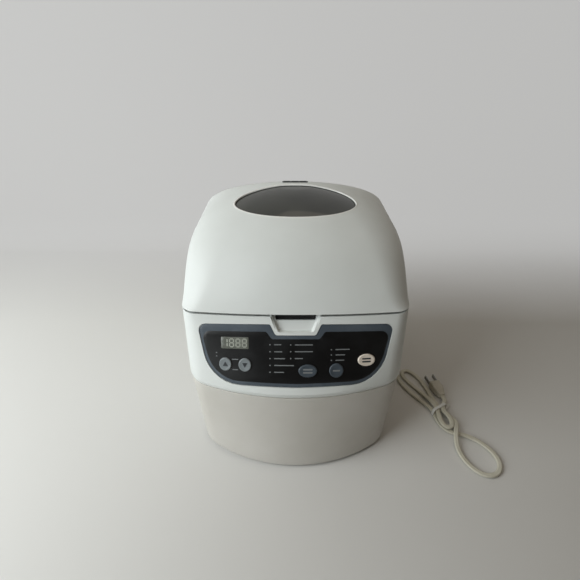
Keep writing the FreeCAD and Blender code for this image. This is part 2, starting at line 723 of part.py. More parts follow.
def build_panel():
    inner = panel_tool(BORDER_TOP, BORDER_SIDE)
    border = panel_tool(0, 0).cut(inner)
    nodes["panel_border"] = border.common(skin(-PANEL_PROUD)).cut(skin(PANEL_SINK))
    face = panel_tool(BORDER_TOP, BORDER_SIDE).common(skin(-FACE_PROUD)).cut(skin(PANEL_SINK))
    face = face.cut(display_tool(SLIP))
    for name in KEYS:
        face = face.cut(key_tool(name, KEY_CLEARANCE))
    nodes["panel_face"] = face
    nodes["display_window"] = display_tool(0).common(skin(-FACE_PROUD - SLIP)).cut(skin(PANEL_SINK))
    for name in KEYS:
        stem = key_tool(name, 0, OUTSIDE, KEY_DEPTH).common(skin(-KEY_PROUD))
        flange = key_tool(name, KEY_FLANGE, -KEY_DEPTH + KEY_FLANGE_THICKNESS, KEY_DEPTH)
        nodes[name] = stem.fuse(flange).removeSplitter()
    board = block((-BOARD_HALF, -BOARD_BOTTOM, -BOARD_DEPTH - BOARD_THICKNESS),
                  (BOARD_HALF, -BOARD_TOP, -BOARD_DEPTH))
    nodes["control_board"] = on_facet(board)
    half = SWITCH_SIZE / 2
    switches = [on_facet(block((x - half, -down - half, -BOARD_DEPTH),
                               (x + half, -down + half, -SWITCH_TOP)))
                for x, down, _, _ in KEYS.values()]
    nodes["key_switches"] = Part.makeCompound(switches)
    nodes["display_module"] = display_tool(MODULE_MARGIN, -MODULE_DEPTH, BOARD_DEPTH)


# Lid
def window_oval(grow, low=None):
    base = LID_Z if low is None else low
    return oval(WINDOW_HALF_X + grow, WINDOW_HALF_Y + grow, WINDOW_Y, base, LID_Z + LID_RISE + OUTSIDE)


def window_ring(outer, inner):
    return window_oval(outer).cut(window_oval(inner))


def vent_block(grow):
    return rounded_block(VENT_LENGTH / 2 + grow, VENT_WIDTH / 2 + grow, VENT_WIDTH / 4,
                         LID_Z, LID_Z + LID_RISE + OUTSIDE, VENT_Y)


def hinge_sides():
    return (-HINGE_X, HINGE_X)


def build_lid():
    shell = dome(0).cut(dome(LID_WALL))
    shell = shell.cut(window_oval(WINDOW_RIM + SLIP)).cut(vent_block(SLIP))
    lugs = []
    for x in hinge_sides():
        half = LUG_WIDTH / 2
        arm = block((x - half, BODY_BACK - HINGE_RADIUS, LID_Z), (x + half, HINGE_Y, HINGE_Z + HINGE_RADIUS))
        arm = arm.cut(dome(0))
        arm = arm.fuse(cylinder_x(HINGE_RADIUS, x - half, x + half, HINGE_Y, HINGE_Z))
        bore = cylinder_x(PIN_RADIUS + RUNNING, x - half, x + half, HINGE_Y, HINGE_Z)
        lugs.append(arm.cut(bore).removeSplitter())
    nodes["hinge_lugs"] = Part.makeCompound(lugs)
    nodes["lid_shell"] = shell.removeSplitter()
    nodes["window_rim"] = band(window_ring(WINDOW_RIM, 0), -RIM_PROUD, LID_WALL + RIM_PROUD)
    nodes["window_glass"] = band(window_oval(-SLIP), GLASS_SINK, GLASS_SINK + GLASS_THICKNESS)
    under = GLASS_SINK + GLASS_THICKNESS
    nodes["window_gasket"] = band(window_ring(-SLIP, -GASKET_WIDTH), under, under + GASKET_THICKNESS)
    vent = band(vent_block(0), -VENT_PROUD, LID_WALL + VENT_PROUD)
    slot = (VENT_LENGTH - (VENT_SLOTS + 1) * VENT_BAR) / VENT_SLOTS
    for i in range(VENT_SLOTS):
        x = (i - (VENT_SLOTS - 1) / 2) * (slot + VENT_BAR)
        vent = vent.cut(rounded_block(slot / 2, VENT_WIDTH / 2 - VENT_BAR, 1.0, LID_Z,
                                      LID_Z + LID_RISE + OUTSIDE, VENT_Y, x))
    nodes["steam_vent"] = vent
    liner = dome(LINER_DEPTH).cut(dome(LINER_DEPTH + LINER_WALL))
    flange_z = LID_Z + LINER_LIFT
    flange_share = (LINER_LIFT + LINER_FLANGE) / LID_RISE
    flange = prism(plan_wire(dome_plan(flange_share, LID_WALL + SLIP), flange_z), LINER_FLANGE)
    flange = flange.cut(prism(plan_wire(inset(SEAM_PLAN, LINER_DEPTH + LINER_WALL), flange_z), LINER_FLANGE))
    below = block((-HALF, FRONT_SEAM, LID_Z), (HALF, BODY_BACK, flange_z))
    liner = liner.cut(below).fuse(flange)
    liner = liner.cut(window_oval(-INNER_GLASS_BORDER)).cut(vent_block(0))
    nodes["lid_liner"] = liner.removeSplitter()
    nodes["inner_glass"] = band(window_oval(-INNER_GLASS_BORDER - SLIP), LINER_DEPTH,
                                LINER_DEPTH + INNER_GLASS_THICKNESS)
    seal_z = CHAMBER_TOP + CHAMBER_WALL + GAP
    outer = prism(plan_wire(inset(SEAM_PLAN, SEAL_INSET), seal_z), flange_z - seal_z)
    strip = outer.cut(prism(plan_wire(inset(SEAM_PLAN, SEAL_INSET + SEAL_WIDTH), seal_z), flange_z - seal_z))
    nodes["lid_seal"] = strip.cut(pocket_tool(POCKET_WALL + GAP, POCKET_DEPTH + POCKET_WALL + GAP))


def build_hinges():
    brackets = []
    pins = []
    for x in hinge_sides():
        inner = LUG_WIDTH / 2 + GAP
        outer = inner + EAR_WIDTH
        bracket = block((x - outer, BODY_BACK - 2 * HINGE_RADIUS, RIM_Z - BRACKET_DROP),
                        (x + outer, BODY_BACK + BRACKET_THICKNESS, HINGE_Z - EAR_DROP + EAR_WIDTH))
        for side in (-1, 1):
            low, high = sorted((x + side * inner, x + side * outer))
            ear = block((low, HINGE_Y - HINGE_RADIUS, HINGE_Z - EAR_DROP), (high, HINGE_Y + HINGE_RADIUS, HINGE_Z))
            ear = ear.fuse(cylinder_x(HINGE_RADIUS, low, high, HINGE_Y, HINGE_Z))
            bracket = bracket.fuse(ear)
        bracket = bracket.cut(upper(0)).cut(cylinder_x(PIN_RADIUS, x - outer, x + outer, HINGE_Y, HINGE_Z))
        brackets.append(bracket.removeSplitter())
        pins.append(cylinder_x(PIN_RADIUS, x - outer, x + outer, HINGE_Y, HINGE_Z))
    nodes["hinge_brackets"] = Part.makeCompound(brackets)
    nodes["hinge_pins"] = Part.makeCompound(pins)


# Oven
def element_spots():
    side = CHAMBER_HALF_X - ELEMENT_INSET
    back = PAN_Y + CHAMBER_HALF_Y - ELEMENT_INSET
    front = PAN_Y - CHAMBER_HALF_Y + ELEMENT_INSET
    out = PAN_Y + CHAMBER_HALF_Y + ELEMENT_OUT
    z = CHAMBER_FLOOR + ELEMENT_RISE
    return out, z, [(-ELEMENT_TAIL, back, z), (-side, back, z), (-side, front, z),
                    (side, front, z), (side, back, z), (ELEMENT_TAIL, back, z)]


def build_oven():
    out, element_z, loop = element_spots()
    wall_y = PAN_Y + CHAMBER_HALF_Y
    chamber = chamber_block(CHAMBER_WALL, CHAMBER_FLOOR, CHAMBER_TOP)
    flange = chamber_block(CHAMBER_FLANGE, CHAMBER_TOP, CHAMBER_TOP + CHAMBER_WALL)
    chamber = chamber.fuse(flange)
    chamber = chamber.cut(chamber_block(0, CHAMBER_FLOOR + CHAMBER_WALL, CHAMBER_TOP + CHAMBER_WALL))
    chamber = chamber.cut(cylinder(HUB_NECK, 0, PAN_Y, CHAMBER_FLOOR, CHAMBER_FLOOR + CHAMBER_WALL))
    insulators = []
    for side in (-1, 1):
        x = side * ELEMENT_TAIL
        chamber = chamber.cut(cylinder_y(INSULATOR_RADIUS, x, wall_y - INSULATOR_IN, out, element_z))
        bush = cylinder_y(INSULATOR_RADIUS, x, wall_y - INSULATOR_IN, out, element_z)
        collar = cylinder_y(INSULATOR_FLANGE, x, wall_y + CHAMBER_WALL, out - CHAMBER_WALL, element_z)
        bore = cylinder_y(ELEMENT_RADIUS + RUNNING, x, wall_y - INSULATOR_IN, out, element_z)
        insulators.append(bush.fuse(collar).cut(bore).removeSplitter())
    sensor_x = -CHAMBER_HALF_X - CHAMBER_WALL
    chamber = chamber.cut(cylinder_x(SENSOR_RADIUS, sensor_x, -CHAMBER_HALF_X, PAN_Y, SENSOR_Z))
    nodes["oven_chamber"] = chamber.removeSplitter()
    nodes["element_insulators"] = Part.makeCompound(insulators)
    ends = [(-ELEMENT_TAIL, out, element_z)] + loop + [(ELEMENT_TAIL, out, element_z)]
    tail_bend = ELEMENT_INSET - INSULATOR_IN - SLIP
    bends = [tail_bend] + 4 * [ELEMENT_BEND] + [tail_bend]
    nodes["heating_element"] = tube(bent_wire(ends, bends)[0], ELEMENT_RADIUS)
    probe = cylinder_x(SENSOR_RADIUS, sensor_x, -CHAMBER_HALF_X + SENSOR_REACH, PAN_Y, SENSOR_Z)
    head = cylinder_x(2 * SENSOR_RADIUS, sensor_x - SENSOR_REACH, sensor_x, PAN_Y, SENSOR_Z)
    nodes["temperature_sensor"] = probe.fuse(head).removeSplitter()
    nodes["thermal_fuse"] = cylinder_x(FUSE_RADIUS, -FUSE_LENGTH / 2, FUSE_LENGTH / 2,
                                       wall_y + CHAMBER_WALL + FUSE_RADIUS, FUSE_Z)
    shield_y = PAN_Y - CHAMBER_HALF_Y - CHAMBER_WALL - SHIELD_GAP
    nodes["heat_shield"] = block((-SHIELD_HALF, shield_y - SHIELD_THICKNESS, CHASSIS_TOP),
                                 (SHIELD_HALF, shield_y, DECK_TOP - DECK_THICKNESS))
    seat = ring(SEAT_RADIUS, SEAT_RADIUS - SEAT_WALL, 0, PAN_Y, CHAMBER_FLOOR + CHAMBER_WALL,
                CHAMBER_FLOOR + CHAMBER_WALL + SEAT_HEIGHT)
    ledge = ring(SEAT_RADIUS, BASE_RING_RADIUS - BASE_RING_WALL, 0, PAN_Y, CHAMBER_FLOOR + CHAMBER_WALL,
                 PAN_FLOOR_Z - BASE_RING_DROP - GAP)
    nodes["pan_seat"] = seat.fuse(ledge).removeSplitter()


# Bread pan
def pan_block(margin, low, high):
    return rounded_block(PAN_HALF_X + margin, PAN_HALF_Y + margin, PAN_CORNER + margin, low, high, PAN_Y)


def flatted(radius, low, high, slack=0.0):
    """Round shaft with one flat, so that what sits on it turns with it."""
    reach = radius + slack
    flat = block((SHAFT_FLAT + slack, PAN_Y - reach, low), (reach + 1, PAN_Y + reach, high))
    return cylinder(reach, 0, PAN_Y, low, high).cut(flat)


def build_pan():
    pan = pan_block(0, PAN_FLOOR_Z, PAN_RIM_Z)
    pan = pan.fuse(pan_block(PAN_RIM, PAN_RIM_Z - PAN_RIM_THICKNESS, PAN_RIM_Z))
    for side in (-1, 1):
        low, high = sorted((side * (PAN_HALF_X - PAN_WALL), side * (PAN_HALF_X + 1)))
        tab = block((low, PAN_Y - EAR_HALF, PAN_RIM_Z - EAR_HALF), (high, PAN_Y + EAR_HALF, BAIL_Z))
        tab = tab.fuse(cylinder_x(EAR_HALF, low, high, PAN_Y, BAIL_Z))
        top = block((low, PAN_Y - EAR_HALF, PAN_RIM_Z - EAR_HALF), (high, PAN_Y + EAR_HALF, PAN_RIM_Z + EAR_TALL))
        pan = pan.fuse(tab.common(top))
    pan = pan.cut(pan_block(-PAN_WALL, PAN_FLOOR_Z + PAN_WALL, PAN_RIM_Z))
    pan = pan.cut(cylinder_x(BAIL_PIN + RUNNING, -PAN_HALF_X - BAIL_OUT, PAN_HALF_X + BAIL_OUT, PAN_Y, BAIL_Z))
    pan = pan.cut(cylinder(BUSH_RADIUS, 0, PAN_Y, PAN_FLOOR_Z, PAN_FLOOR_Z + PAN_WALL))
    skirt = ring(BASE_RING_RADIUS, BASE_RING_RADIUS - BASE_RING_WALL, 0, PAN_Y, PAN_FLOOR_Z - BASE_RING_DROP,
                 PAN_FLOOR_Z)
    nodes["bread_pan"] = pan.fuse(skirt).removeSplitter()
    floor_top = PAN_FLOOR_Z + PAN_WALL
    bush = cylinder(BUSH_RADIUS, 0, PAN_Y, PAN_FLOOR_Z - NUT_THICKNESS, floor_top)
    bush = bush.fuse(cylinder(BUSH_FLANGE, 0, PAN_Y, floor_top, floor_top + BUSH_FLANGE_THICKNESS))
    bush = bush.fuse(cylinder(BUSH_FLANGE, 0, PAN_Y, PAN_FLOOR_Z - NUT_THICKNESS, PAN_FLOOR_Z))
    bore = cylinder(SHAFT_RADIUS + RUNNING, 0, PAN_Y, WING_Z, floor_top + BUSH_FLANGE)
    nodes["pan_bush"] = bush.cut(bore).removeSplitter()
    hub_z = floor_top + BUSH_FLANGE_THICKNESS + DRIVE_CLEARANCE
    hub_top = hub_z + PADDLE_HUB_HEIGHT
    wing = block((-WING_HALF, PAN_Y - WING_WIDTH / 2, WING_Z), (WING_HALF, PAN_Y + WING_WIDTH / 2, WING_Z + WING_HEIGHT))
    lower = cylinder(SHAFT_RADIUS, 0, PAN_Y, WING_Z, hub_z - DRIVE_CLEARANCE)
    shaft = flatted(SHAFT_RADIUS, hub_z - DRIVE_CLEARANCE, hub_top - DRIVE_CLEARANCE)
    nodes["pan_shaft"] = wing.fuse(lower).fuse(shaft).removeSplitter()
    hub = cylinder(PADDLE_HUB, 0, PAN_Y, hub_z, hub_top)
    face_y = PAN_Y - PADDLE_THICKNESS / 2
    fin = Part.makePolygon([
        V(0, face_y, hub_z),
        V(PADDLE_REACH, face_y, hub_z),
        V(PADDLE_REACH - PADDLE_HUB / 2, face_y, hub_z + PADDLE_HEIGHT / 2),
        V(PADDLE_HUB, face_y, hub_z + PADDLE_HEIGHT),
        V(0, face_y, hub_z + PADDLE_HEIGHT),
        V(0, face_y, hub_z),
    ])
    blade = Part.Face(fin).extrude(V(0, PADDLE_THICKNESS, 0))
    paddle = hub.fuse(blade).cut(flatted(SHAFT_RADIUS, hub_z, hub_top, RUNNING))
    nodes["kneading_paddle"] = paddle.removeSplitter()
    arm_x = PAN_HALF_X + BAIL_OUT
    heel = PAN_Y - BAIL_HEEL
    spots = [(-arm_x, heel, BAIL_Z), (-arm_x, PAN_Y + BAIL_REACH, BAIL_Z),
             (arm_x, PAN_Y + BAIL_REACH, BAIL_Z), (arm_x, heel, BAIL_Z)]
    bail = tube(bent_wire(spots, [BAIL_BEND, BAIL_BEND])[0], BAIL_RADIUS)
    for side in (-1, 1):
        low, high = sorted((side * (PAN_HALF_X - PAN_WALL - 1), side * arm_x))
        bail = bail.fuse(cylinder_x(BAIL_PIN, low, high, PAN_Y, BAIL_Z))
    nodes["pan_handle"] = bail.removeSplitter()


# Drive
def sector(outer, inner, sweep, low, high, facing):
    """Part of a ring round the pan's axis, centred on the direction it faces."""
    whole = ring(outer, inner, 0, PAN_Y, low, high)
    slice_ = Part.makeCylinder(outer + 1, high - low, V(0, PAN_Y, low), V(0, 0, 1), sweep)
    slice_.rotate(V(0, PAN_Y, low), V(0, 0, 1), facing - sweep / 2)
    return whole.common(slice_)


def pulley(radius, bore, x, y):
    top = PULLEY_Z + PULLEY_WIDTH
    wheel = cylinder(radius, x, y, PULLEY_Z, top)
    for low, high in ((PULLEY_Z, PULLEY_Z + PULLEY_FLANGE), (top - PULLEY_FLANGE, top)):
        wheel = wheel.fuse(cylinder(radius + FLANGE_LIP, x, y, low, high))
    return wheel.cut(cylinder(bore, x, y, PULLEY_Z, top)).removeSplitter()


def belt_wire(extra, z):
    """Open belt's outline round both pulleys at some distance off them."""
    large = LARGE_PULLEY_RADIUS + extra
    small = SMALL_PULLEY_RADIUS + extra
    hub = V(0, PAN_Y, z)
    motor = V(MOTOR_X, MOTOR_Y, z)
    along = (motor - hub).normalize()
    across = V(-along.y, along.x, 0)
    lean = math.asin((large - small) / hub.distanceToPoint(motor))
    def off(centre, radius, side):
        return centre + along * (radius * math.sin(lean)) + across * (side * radius * math.cos(lean))
    edges = [
        line(off(hub, large, 1), off(motor, small, 1)),
        Part.Arc(off(motor, small, 1), motor + along * small, off(motor, small, -1)).toShape(),
        line(off(motor, small, -1), off(hub, large, -1)),
        Part.Arc(off(hub, large, -1), hub - along * large, off(hub, large, 1)).toShape(),
    ]
    return Part.Wire(edges)


def build_drive():
    housing = cylinder(HUB_FLANGE, 0, PAN_Y, CHASSIS_TOP, CHASSIS_TOP + HUB_FLANGE_THICKNESS)
    housing = housing.fuse(cylinder(HUB_RADIUS, 0, PAN_Y, CHASSIS_TOP, CHAMBER_FLOOR))
    housing = housing.fuse(cylinder(HUB_NECK, 0, PAN_Y, CHAMBER_FLOOR, HUB_TOP))
    housing = housing.cut(cylinder(BEARING_RADIUS, 0, PAN_Y, CHASSIS_TOP, HUB_TOP))
    nodes["bearing_housing"] = housing.removeSplitter()
    bore = SHAFT_RADIUS + RUNNING
    nodes["bearing_bushes"] = Part.makeCompound([
        ring(BEARING_RADIUS, bore, 0, PAN_Y, CHASSIS_TOP, CHASSIS_TOP + BEARING_LENGTH),
        ring(BEARING_RADIUS, bore, 0, PAN_Y, HUB_TOP - BEARING_LENGTH, HUB_TOP),
    ])
    shaft_top = COUPLER_Z + COUPLER_THICKNESS
    nodes["drive_shaft"] = cylinder(SHAFT_RADIUS, 0, PAN_Y, PULLEY_Z, shaft_top)
    coupler = ring(COUPLER_RADIUS, SHAFT_RADIUS, 0, PAN_Y, COUPLER_Z, shaft_top)
    for facing in (90, 270):
        coupler = coupler.fuse(sector(DOG_OUTER, DOG_INNER, DOG_SWEEP, shaft_top, shaft_top + DOG_HEIGHT, facing))
    nodes["drive_coupler"] = coupler.removeSplitter()
    nodes["large_pulley"] = pulley(LARGE_PULLEY_RADIUS, SHAFT_RADIUS, 0, PAN_Y)
    low = PULLEY_Z + PULLEY_FLANGE + BELT_SIDE_GAP
    height = PULLEY_WIDTH - 2 * (PULLEY_FLANGE + BELT_SIDE_GAP)
    belt = prism(belt_wire(GAP + BELT_THICKNESS, low), height)
    nodes["drive_belt"] = belt.cut(prism(belt_wire(GAP, low), height))
    seat = CHASSIS_TOP + BRACKET_PLATE
    mount = rounded_block(BRACKET_HALF, MOTOR_HALF, MOTOR_CORNER, CHASSIS_TOP, seat, MOTOR_Y, MOTOR_X)
    bore = MOTOR_SHAFT_RADIUS + RUNNING
    nodes["motor_bracket"] = mount.cut(cylinder(SMALL_PULLEY_RADIUS, MOTOR_X, MOTOR_Y, CHASSIS_TOP, seat))
    motor_top = seat + MOTOR_HEIGHT
    motor = rounded_block(MOTOR_HALF, MOTOR_HALF, MOTOR_CORNER, seat, motor_top, MOTOR_Y, MOTOR_X)
    motor = motor.fuse(cylinder(MOTOR_CAP_RADIUS, MOTOR_X, MOTOR_Y, motor_top, motor_top + MOTOR_CAP_HEIGHT))
    motor = motor.cut(cylinder(bore, MOTOR_X, MOTOR_Y, seat, motor_top + MOTOR_CAP_HEIGHT))
    nodes["motor"] = motor.removeSplitter()
    nodes["motor_shaft"] = cylinder(MOTOR_SHAFT_RADIUS, MOTOR_X, MOTOR_Y, PULLEY_Z,
                                    motor_top + MOTOR_CAP_HEIGHT + MOTOR_SHAFT_TOP)
    nodes["small_pulley"] = pulley(SMALL_PULLEY_RADIUS, MOTOR_SHAFT_RADIUS, MOTOR_X, MOTOR_Y)


# Mains lead
def self_gap(wire):
    """Smallest clear distance between two strands of the same cord."""
    spots = wire.discretize(Distance=1.5)
    apart = int(4 * CORD_DIAMETER / 1.5)
    nearest = min(a.distanceToPoint(b) for i, a in enumerate(spots) for b in spots[i + apart:])
    return nearest - CORD_DIAMETER


def cord(name, route):
    wire, radii = bent_wire(route)
    shape = tube(wire, CORD_RADIUS)
    section = math.pi * CORD_RADIUS ** 2
    print(name, "length %.1f" % wire.Length, "least radius %.1f" % min(radii),
          "volume ratio %.4f" % (shape.Volume / (section * wire.Length)), "self gap %.2f" % self_gap(wire))
    nodes[name] = shape


def build_lead():
    out = LEAD_ROUTE[0][1]
    seat = out - RELIEF_LENGTH
    relief = Part.makeCone(RELIEF_RADIUS, RELIEF_TIP, RELIEF_LENGTH, V(RELIEF_X, seat, RELIEF_Z), V(0, 1, 0))
    relief = relief.fuse(cylinder_y(RELIEF_RADIUS, RELIEF_X, seat - 2 * RELIEF_FLANGE_THICKNESS - RELIEF_INSIDE,
                                    seat, RELIEF_Z))
    relief = relief.fuse(cylinder_y(RELIEF_FLANGE, RELIEF_X, seat - RELIEF_FLANGE_THICKNESS, seat, RELIEF_Z))
    nodes["strain_relief"] = relief.cut(tub(0).cut(tub(TUB_WALL, 1.0)).cut(
        cylinder_y(RELIEF_RADIUS, RELIEF_X, 0, out, RELIEF_Z))).removeSplitter()
    cord("cord_lead", LEAD_ROUTE)
    cord("cord_hank", HANK_ROUTE)
    entry = V(*HANK_ROUTE[-1])
    ahead = (entry - V(*HANK_ROUTE[-2])).normalize()
    turn = FreeCAD.Rotation(V(0, 1, 0), ahead)
    place = FreeCAD.Placement(entry, turn)
    wide = PLUG_HALF_WIDTH
    slim = PLUG_NECK
    shoulder = PLUG_LENGTH / 2
    corners = [(-slim, 0, 0), (slim, 0, 0), (wide, shoulder, 3.0), (wide, PLUG_LENGTH, 2.0),
               (-wide, PLUG_LENGTH, 2.0), (-wide, shoulder, 3.0)]
    body = prism(outline(corners, -PLUG_HALF_THICKNESS), 2 * PLUG_HALF_THICKNESS)
    body.Placement = place
    nodes["plug_body"] = body
    blades = []
    for side in (-1, 1):
        x = side * BLADE_SPACING / 2
        blade = block((x - BLADE_THICKNESS / 2, PLUG_LENGTH, -BLADE_WIDTH / 2),
                      (x + BLADE_THICKNESS / 2, PLUG_LENGTH + BLADE_LENGTH, BLADE_WIDTH / 2))
        blade.Placement = place
        blades.append(blade)
    nodes["plug_blades"] = Part.makeCompound(blades)
    along = V(TIE_ALONG[0], TIE_ALONG[1], 0)
    tie_place = FreeCAD.Placement(V(TIE_CENTRE[0], TIE_CENTRE[1], 0), FreeCAD.Rotation(V(0, 1, 0), along))
    half = TIE_WIDTH / 2
    band_ = block((-TIE_HALF_SPAN, -half, 0.05), (TIE_HALF_SPAN, half, TIE_TOP))
    hole = block((-TIE_HALF_SPAN + TIE_THICKNESS, -half, 0.05 + TIE_THICKNESS),
                 (TIE_HALF_SPAN - TIE_THICKNESS, half, TIE_TOP - TIE_THICKNESS))
    tail = block((TIE_HALF_SPAN, -half, 0.05), (TIE_HALF_SPAN + TIE_TAIL, half, 0.05 + TIE_THICKNESS))
    tie = band_.cut(hole).fuse(tail)
    tie.Placement = tie_place
    nodes["cord_tie"] = tie


build_underside()
build_power_parts()
build_lower_housing()
build_upper_housing()
build_panel()
build_lid()
build_hinges()
build_oven()
build_pan()
build_drive()
build_lead()

os.makedirs("parts", exist_ok=True)
for name, shape in nodes.items():
    box = shape.BoundBox
    print("%-20s solids %2d valid %s volume %9.1f  x %.1f..%.1f y %.1f..%.1f z %.1f..%.1f" % (
        name, len(shape.Solids), shape.isValid(), shape.Volume,
        box.XMin, box.XMax, box.YMin, box.YMax, box.ZMin, box.ZMax))
    shape.exportStep("parts/" + name + ".step")
print(len(nodes), "nodes")
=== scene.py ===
"""The looks of a countertop bread machine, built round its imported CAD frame.

Lengths are metres in the CAD frame: +X is right seen from the front, +Y is the back, +Z is up.
"""

import json
import logging
import math
from dataclasses import dataclass
from enum import Enum
from typing import Iterable, Sequence

import bmesh
import bpy
from mathutils import Matrix, Vector
from mathutils.bvhtree import BVHTree


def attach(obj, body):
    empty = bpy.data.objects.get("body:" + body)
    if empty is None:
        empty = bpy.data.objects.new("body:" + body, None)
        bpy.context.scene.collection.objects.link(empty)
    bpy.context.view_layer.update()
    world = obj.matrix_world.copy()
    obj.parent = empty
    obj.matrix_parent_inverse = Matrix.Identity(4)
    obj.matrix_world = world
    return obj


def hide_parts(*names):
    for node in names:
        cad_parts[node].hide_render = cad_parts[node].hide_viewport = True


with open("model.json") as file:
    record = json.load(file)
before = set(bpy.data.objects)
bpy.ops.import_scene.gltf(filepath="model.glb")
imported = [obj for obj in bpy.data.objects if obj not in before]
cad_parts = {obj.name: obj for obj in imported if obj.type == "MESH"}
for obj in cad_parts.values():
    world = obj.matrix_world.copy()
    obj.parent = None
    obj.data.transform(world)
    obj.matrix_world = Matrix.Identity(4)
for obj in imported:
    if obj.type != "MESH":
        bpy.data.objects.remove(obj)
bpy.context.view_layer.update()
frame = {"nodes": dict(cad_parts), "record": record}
MM = 0.001
log = logging.getLogger("bread_machine")

Shape = bmesh.types.BMesh
Ring = list[bmesh.types.BMVert]
Walk = list[Vector]
Link = tuple[bpy.types.Node, str]
Look = dict[str, Link | float]
Pair = tuple[float, float]
Triple = tuple[float, float, float]

QUARTER = math.pi / 2
UP, DOWN = Vector((0, 0, 1)), Vector((0, 0, -1))
# Points closer than this are one point.
WELD = 0.002 * MM
# Where the cord leaves the back: its distance right of the middle, and its height.
EXIT_X, EXIT_Z = 100 * MM, 22 * MM
# Points along the front, along each side or corner, and along the back of a body outline.
FRONT_STEPS, SIDE_STEPS, BACK_STEPS = 40, 12, 24


def linear(hex_colour: str) -> tuple[float, float, float, float]:
    """Turn an sRGB hex colour, six digits after a hash, into linear RGBA with an alpha of 1."""
    parts = [int(hex_colour[i:i + 2], 16) / 255 for i in (1, 3, 5)]
    return tuple(c / 12.92 if c <= 0.04045 else ((c + 0.055) / 1.055) ** 2.4 for c in parts) + (1.0,)


def per_mm(size_mm: float) -> float:
    """Give the texture scale, per metre, of a pattern that repeats at a size in millimetres."""
    return 1 / (size_mm * MM)


def add(tree: bpy.types.NodeTree, kind: str, inputs: dict | None = None, **settings) -> bpy.types.Node:
    """Add one node with its settings and links.

    Args:
        tree: the node tree that gets the node.
        kind: the node's type, without its ShaderNode prefix.
        inputs: socket name or number to a value, or to (node, output) for a link.
        settings: attributes of the node; stops is a ramp's list of (position, hex colour).

    Returns:
        The new node.
    """
    node = tree.nodes.new("ShaderNode" + kind)
    stops = settings.pop("stops", None)
    for name, value in settings.items():
        setattr(node, name, value)
    for place, (position, colour) in enumerate(stops or ()):
        ramp = node.color_ramp.elements
        stop = ramp[place] if place < 2 else ramp.new(position)
        stop.position = position
        stop.color = linear(colour)
    for socket, value in (inputs or {}).items():
        if isinstance(value, tuple) and isinstance(value[0], bpy.types.Node):
            tree.links.new(value[0].outputs[value[1]], node.inputs[socket])
        else:
            node.inputs[socket].default_value = value
    return node


def blank_material(name: str) -> bpy.types.Material:
    """Make a material with an empty node tree."""
    made = bpy.data.materials.new(name)
    made.use_nodes = True
    made.node_tree.nodes.clear()
    return made


class Nodes:
    """A material's node tree, with the patterns that the finishes share."""

    def __init__(self, tree: bpy.types.NodeTree) -> None:
        """Keep the tree and its object coordinates."""
        self.tree = tree
        self.spot: Link = (add(tree, "TexCoord"), "Object")

    def noise(self, size_mm: float, detail: float, **inputs: Link | float) -> Link:
        """Add a noise that repeats at a size."""
        basics = {"Vector": self.spot, "Scale": per_mm(size_mm), "Detail": detail}
        return add(self.tree, "TexNoise", basics | inputs), "Fac"

    def tint(self, pattern: Link, *stops: tuple[float, str]) -> Link:
        """Add a colour that follows a pattern from stop to stop."""
        return add(self.tree, "ValToRGB", {"Fac": pattern}, stops=stops), "Color"

    def spread(self, pattern: Link, source: Pair, target: Pair) -> Link:
        """Map a pattern from one range onto another."""
        ends = dict(zip(("From Min", "From Max", "To Min", "To Max"), source + target))
        return add(self.tree, "MapRange", {"Value": pattern} | ends), "Result"

    def bump(self, pattern: Link, strength: float, depth_mm: float) -> Link:
        """Add a relief that follows a pattern."""
        inputs = {"Height": pattern, "Strength": strength, "Distance": depth_mm * MM}
        return add(self.tree, "Bump", inputs), "Normal"


class Finish:
    """A surface finish that makes its Blender material once."""

    name: str

    def look(self, nodes: Nodes) -> Look:
        """Give the inputs of the finish's shader."""
        raise NotImplementedError

    def material(self) -> bpy.types.Material:
        """Give the finish's material, made on first use.

        Returns:
            The material, with its node tree built.
        """
        made = bpy.data.materials.get(self.name)
        if not made:
            made = blank_material(self.name)
            tree = made.node_tree
            shader = add(tree, "BsdfPrincipled", self.look(Nodes(tree)))
            add(tree, "OutputMaterial", {"Surface": (shader, "BSDF")})
        return made


@dataclass(frozen=True)
class MouldedPlastic(Finish):
    """Injection-moulded ABS or PVC: one colour that clouds a little with age, over a spark-eroded grain."""

    name: str
    colour: str
    aged: str
    roughness: float = 0.42
    # The real grain is about 0.1 mm; it is drawn coarser so that it shows at all.
    grain_mm: float = 1.1
    grain_depth: float = 0.05
    cloud_mm: float = 70.0
    wear_mm: float = 9.0

    def look(self, nodes: Nodes) -> Look:
        """Give a clouded colour, an uneven gloss and the moulding's grain."""
        sizes = ((self.cloud_mm, 4.0), (self.wear_mm, 5.0), (self.grain_mm, 2.0))
        cloud, wear, grain = (nodes.noise(*size) for size in sizes)
        return {"Base Color": nodes.tint(cloud, (0.3, self.colour), (0.75, self.aged)), "IOR": 1.52,
                "Roughness": nodes.spread(wear, (0.3, 0.7), (self.roughness - 0.05, self.roughness + 0.07)),
                "Normal": nodes.bump(grain, self.grain_depth, 0.1)}


@dataclass(frozen=True)
class PrintedFilm(Finish):
    """Screen-printed polyester film: even ink under a fine matt texture, rubbed brighter here and there."""

    name: str
    ink: str
    rubbed: str
    roughness: float = 0.3
    coat: float = 0.2
    rub_mm: float = 26.0
    weave_mm: float = 0.6

    def look(self, nodes: Nodes) -> Look:
        """Give the ink with its rubbed patches, and the film's texture."""
        rub, weave = nodes.noise(self.rub_mm, 6.0, Roughness=0.6), nodes.noise(self.weave_mm, 1.0)
        return {"Base Color": nodes.tint(rub, (0.45, self.ink), (0.8, self.rubbed)), "IOR": 1.5,
                "Roughness": nodes.spread(rub, (0.3, 0.8), (self.roughness, self.roughness + 0.15)),
                "Coat Weight": self.coat, "Coat Roughness": 0.12, "Normal": nodes.bump(weave, 0.05, 0.05)}


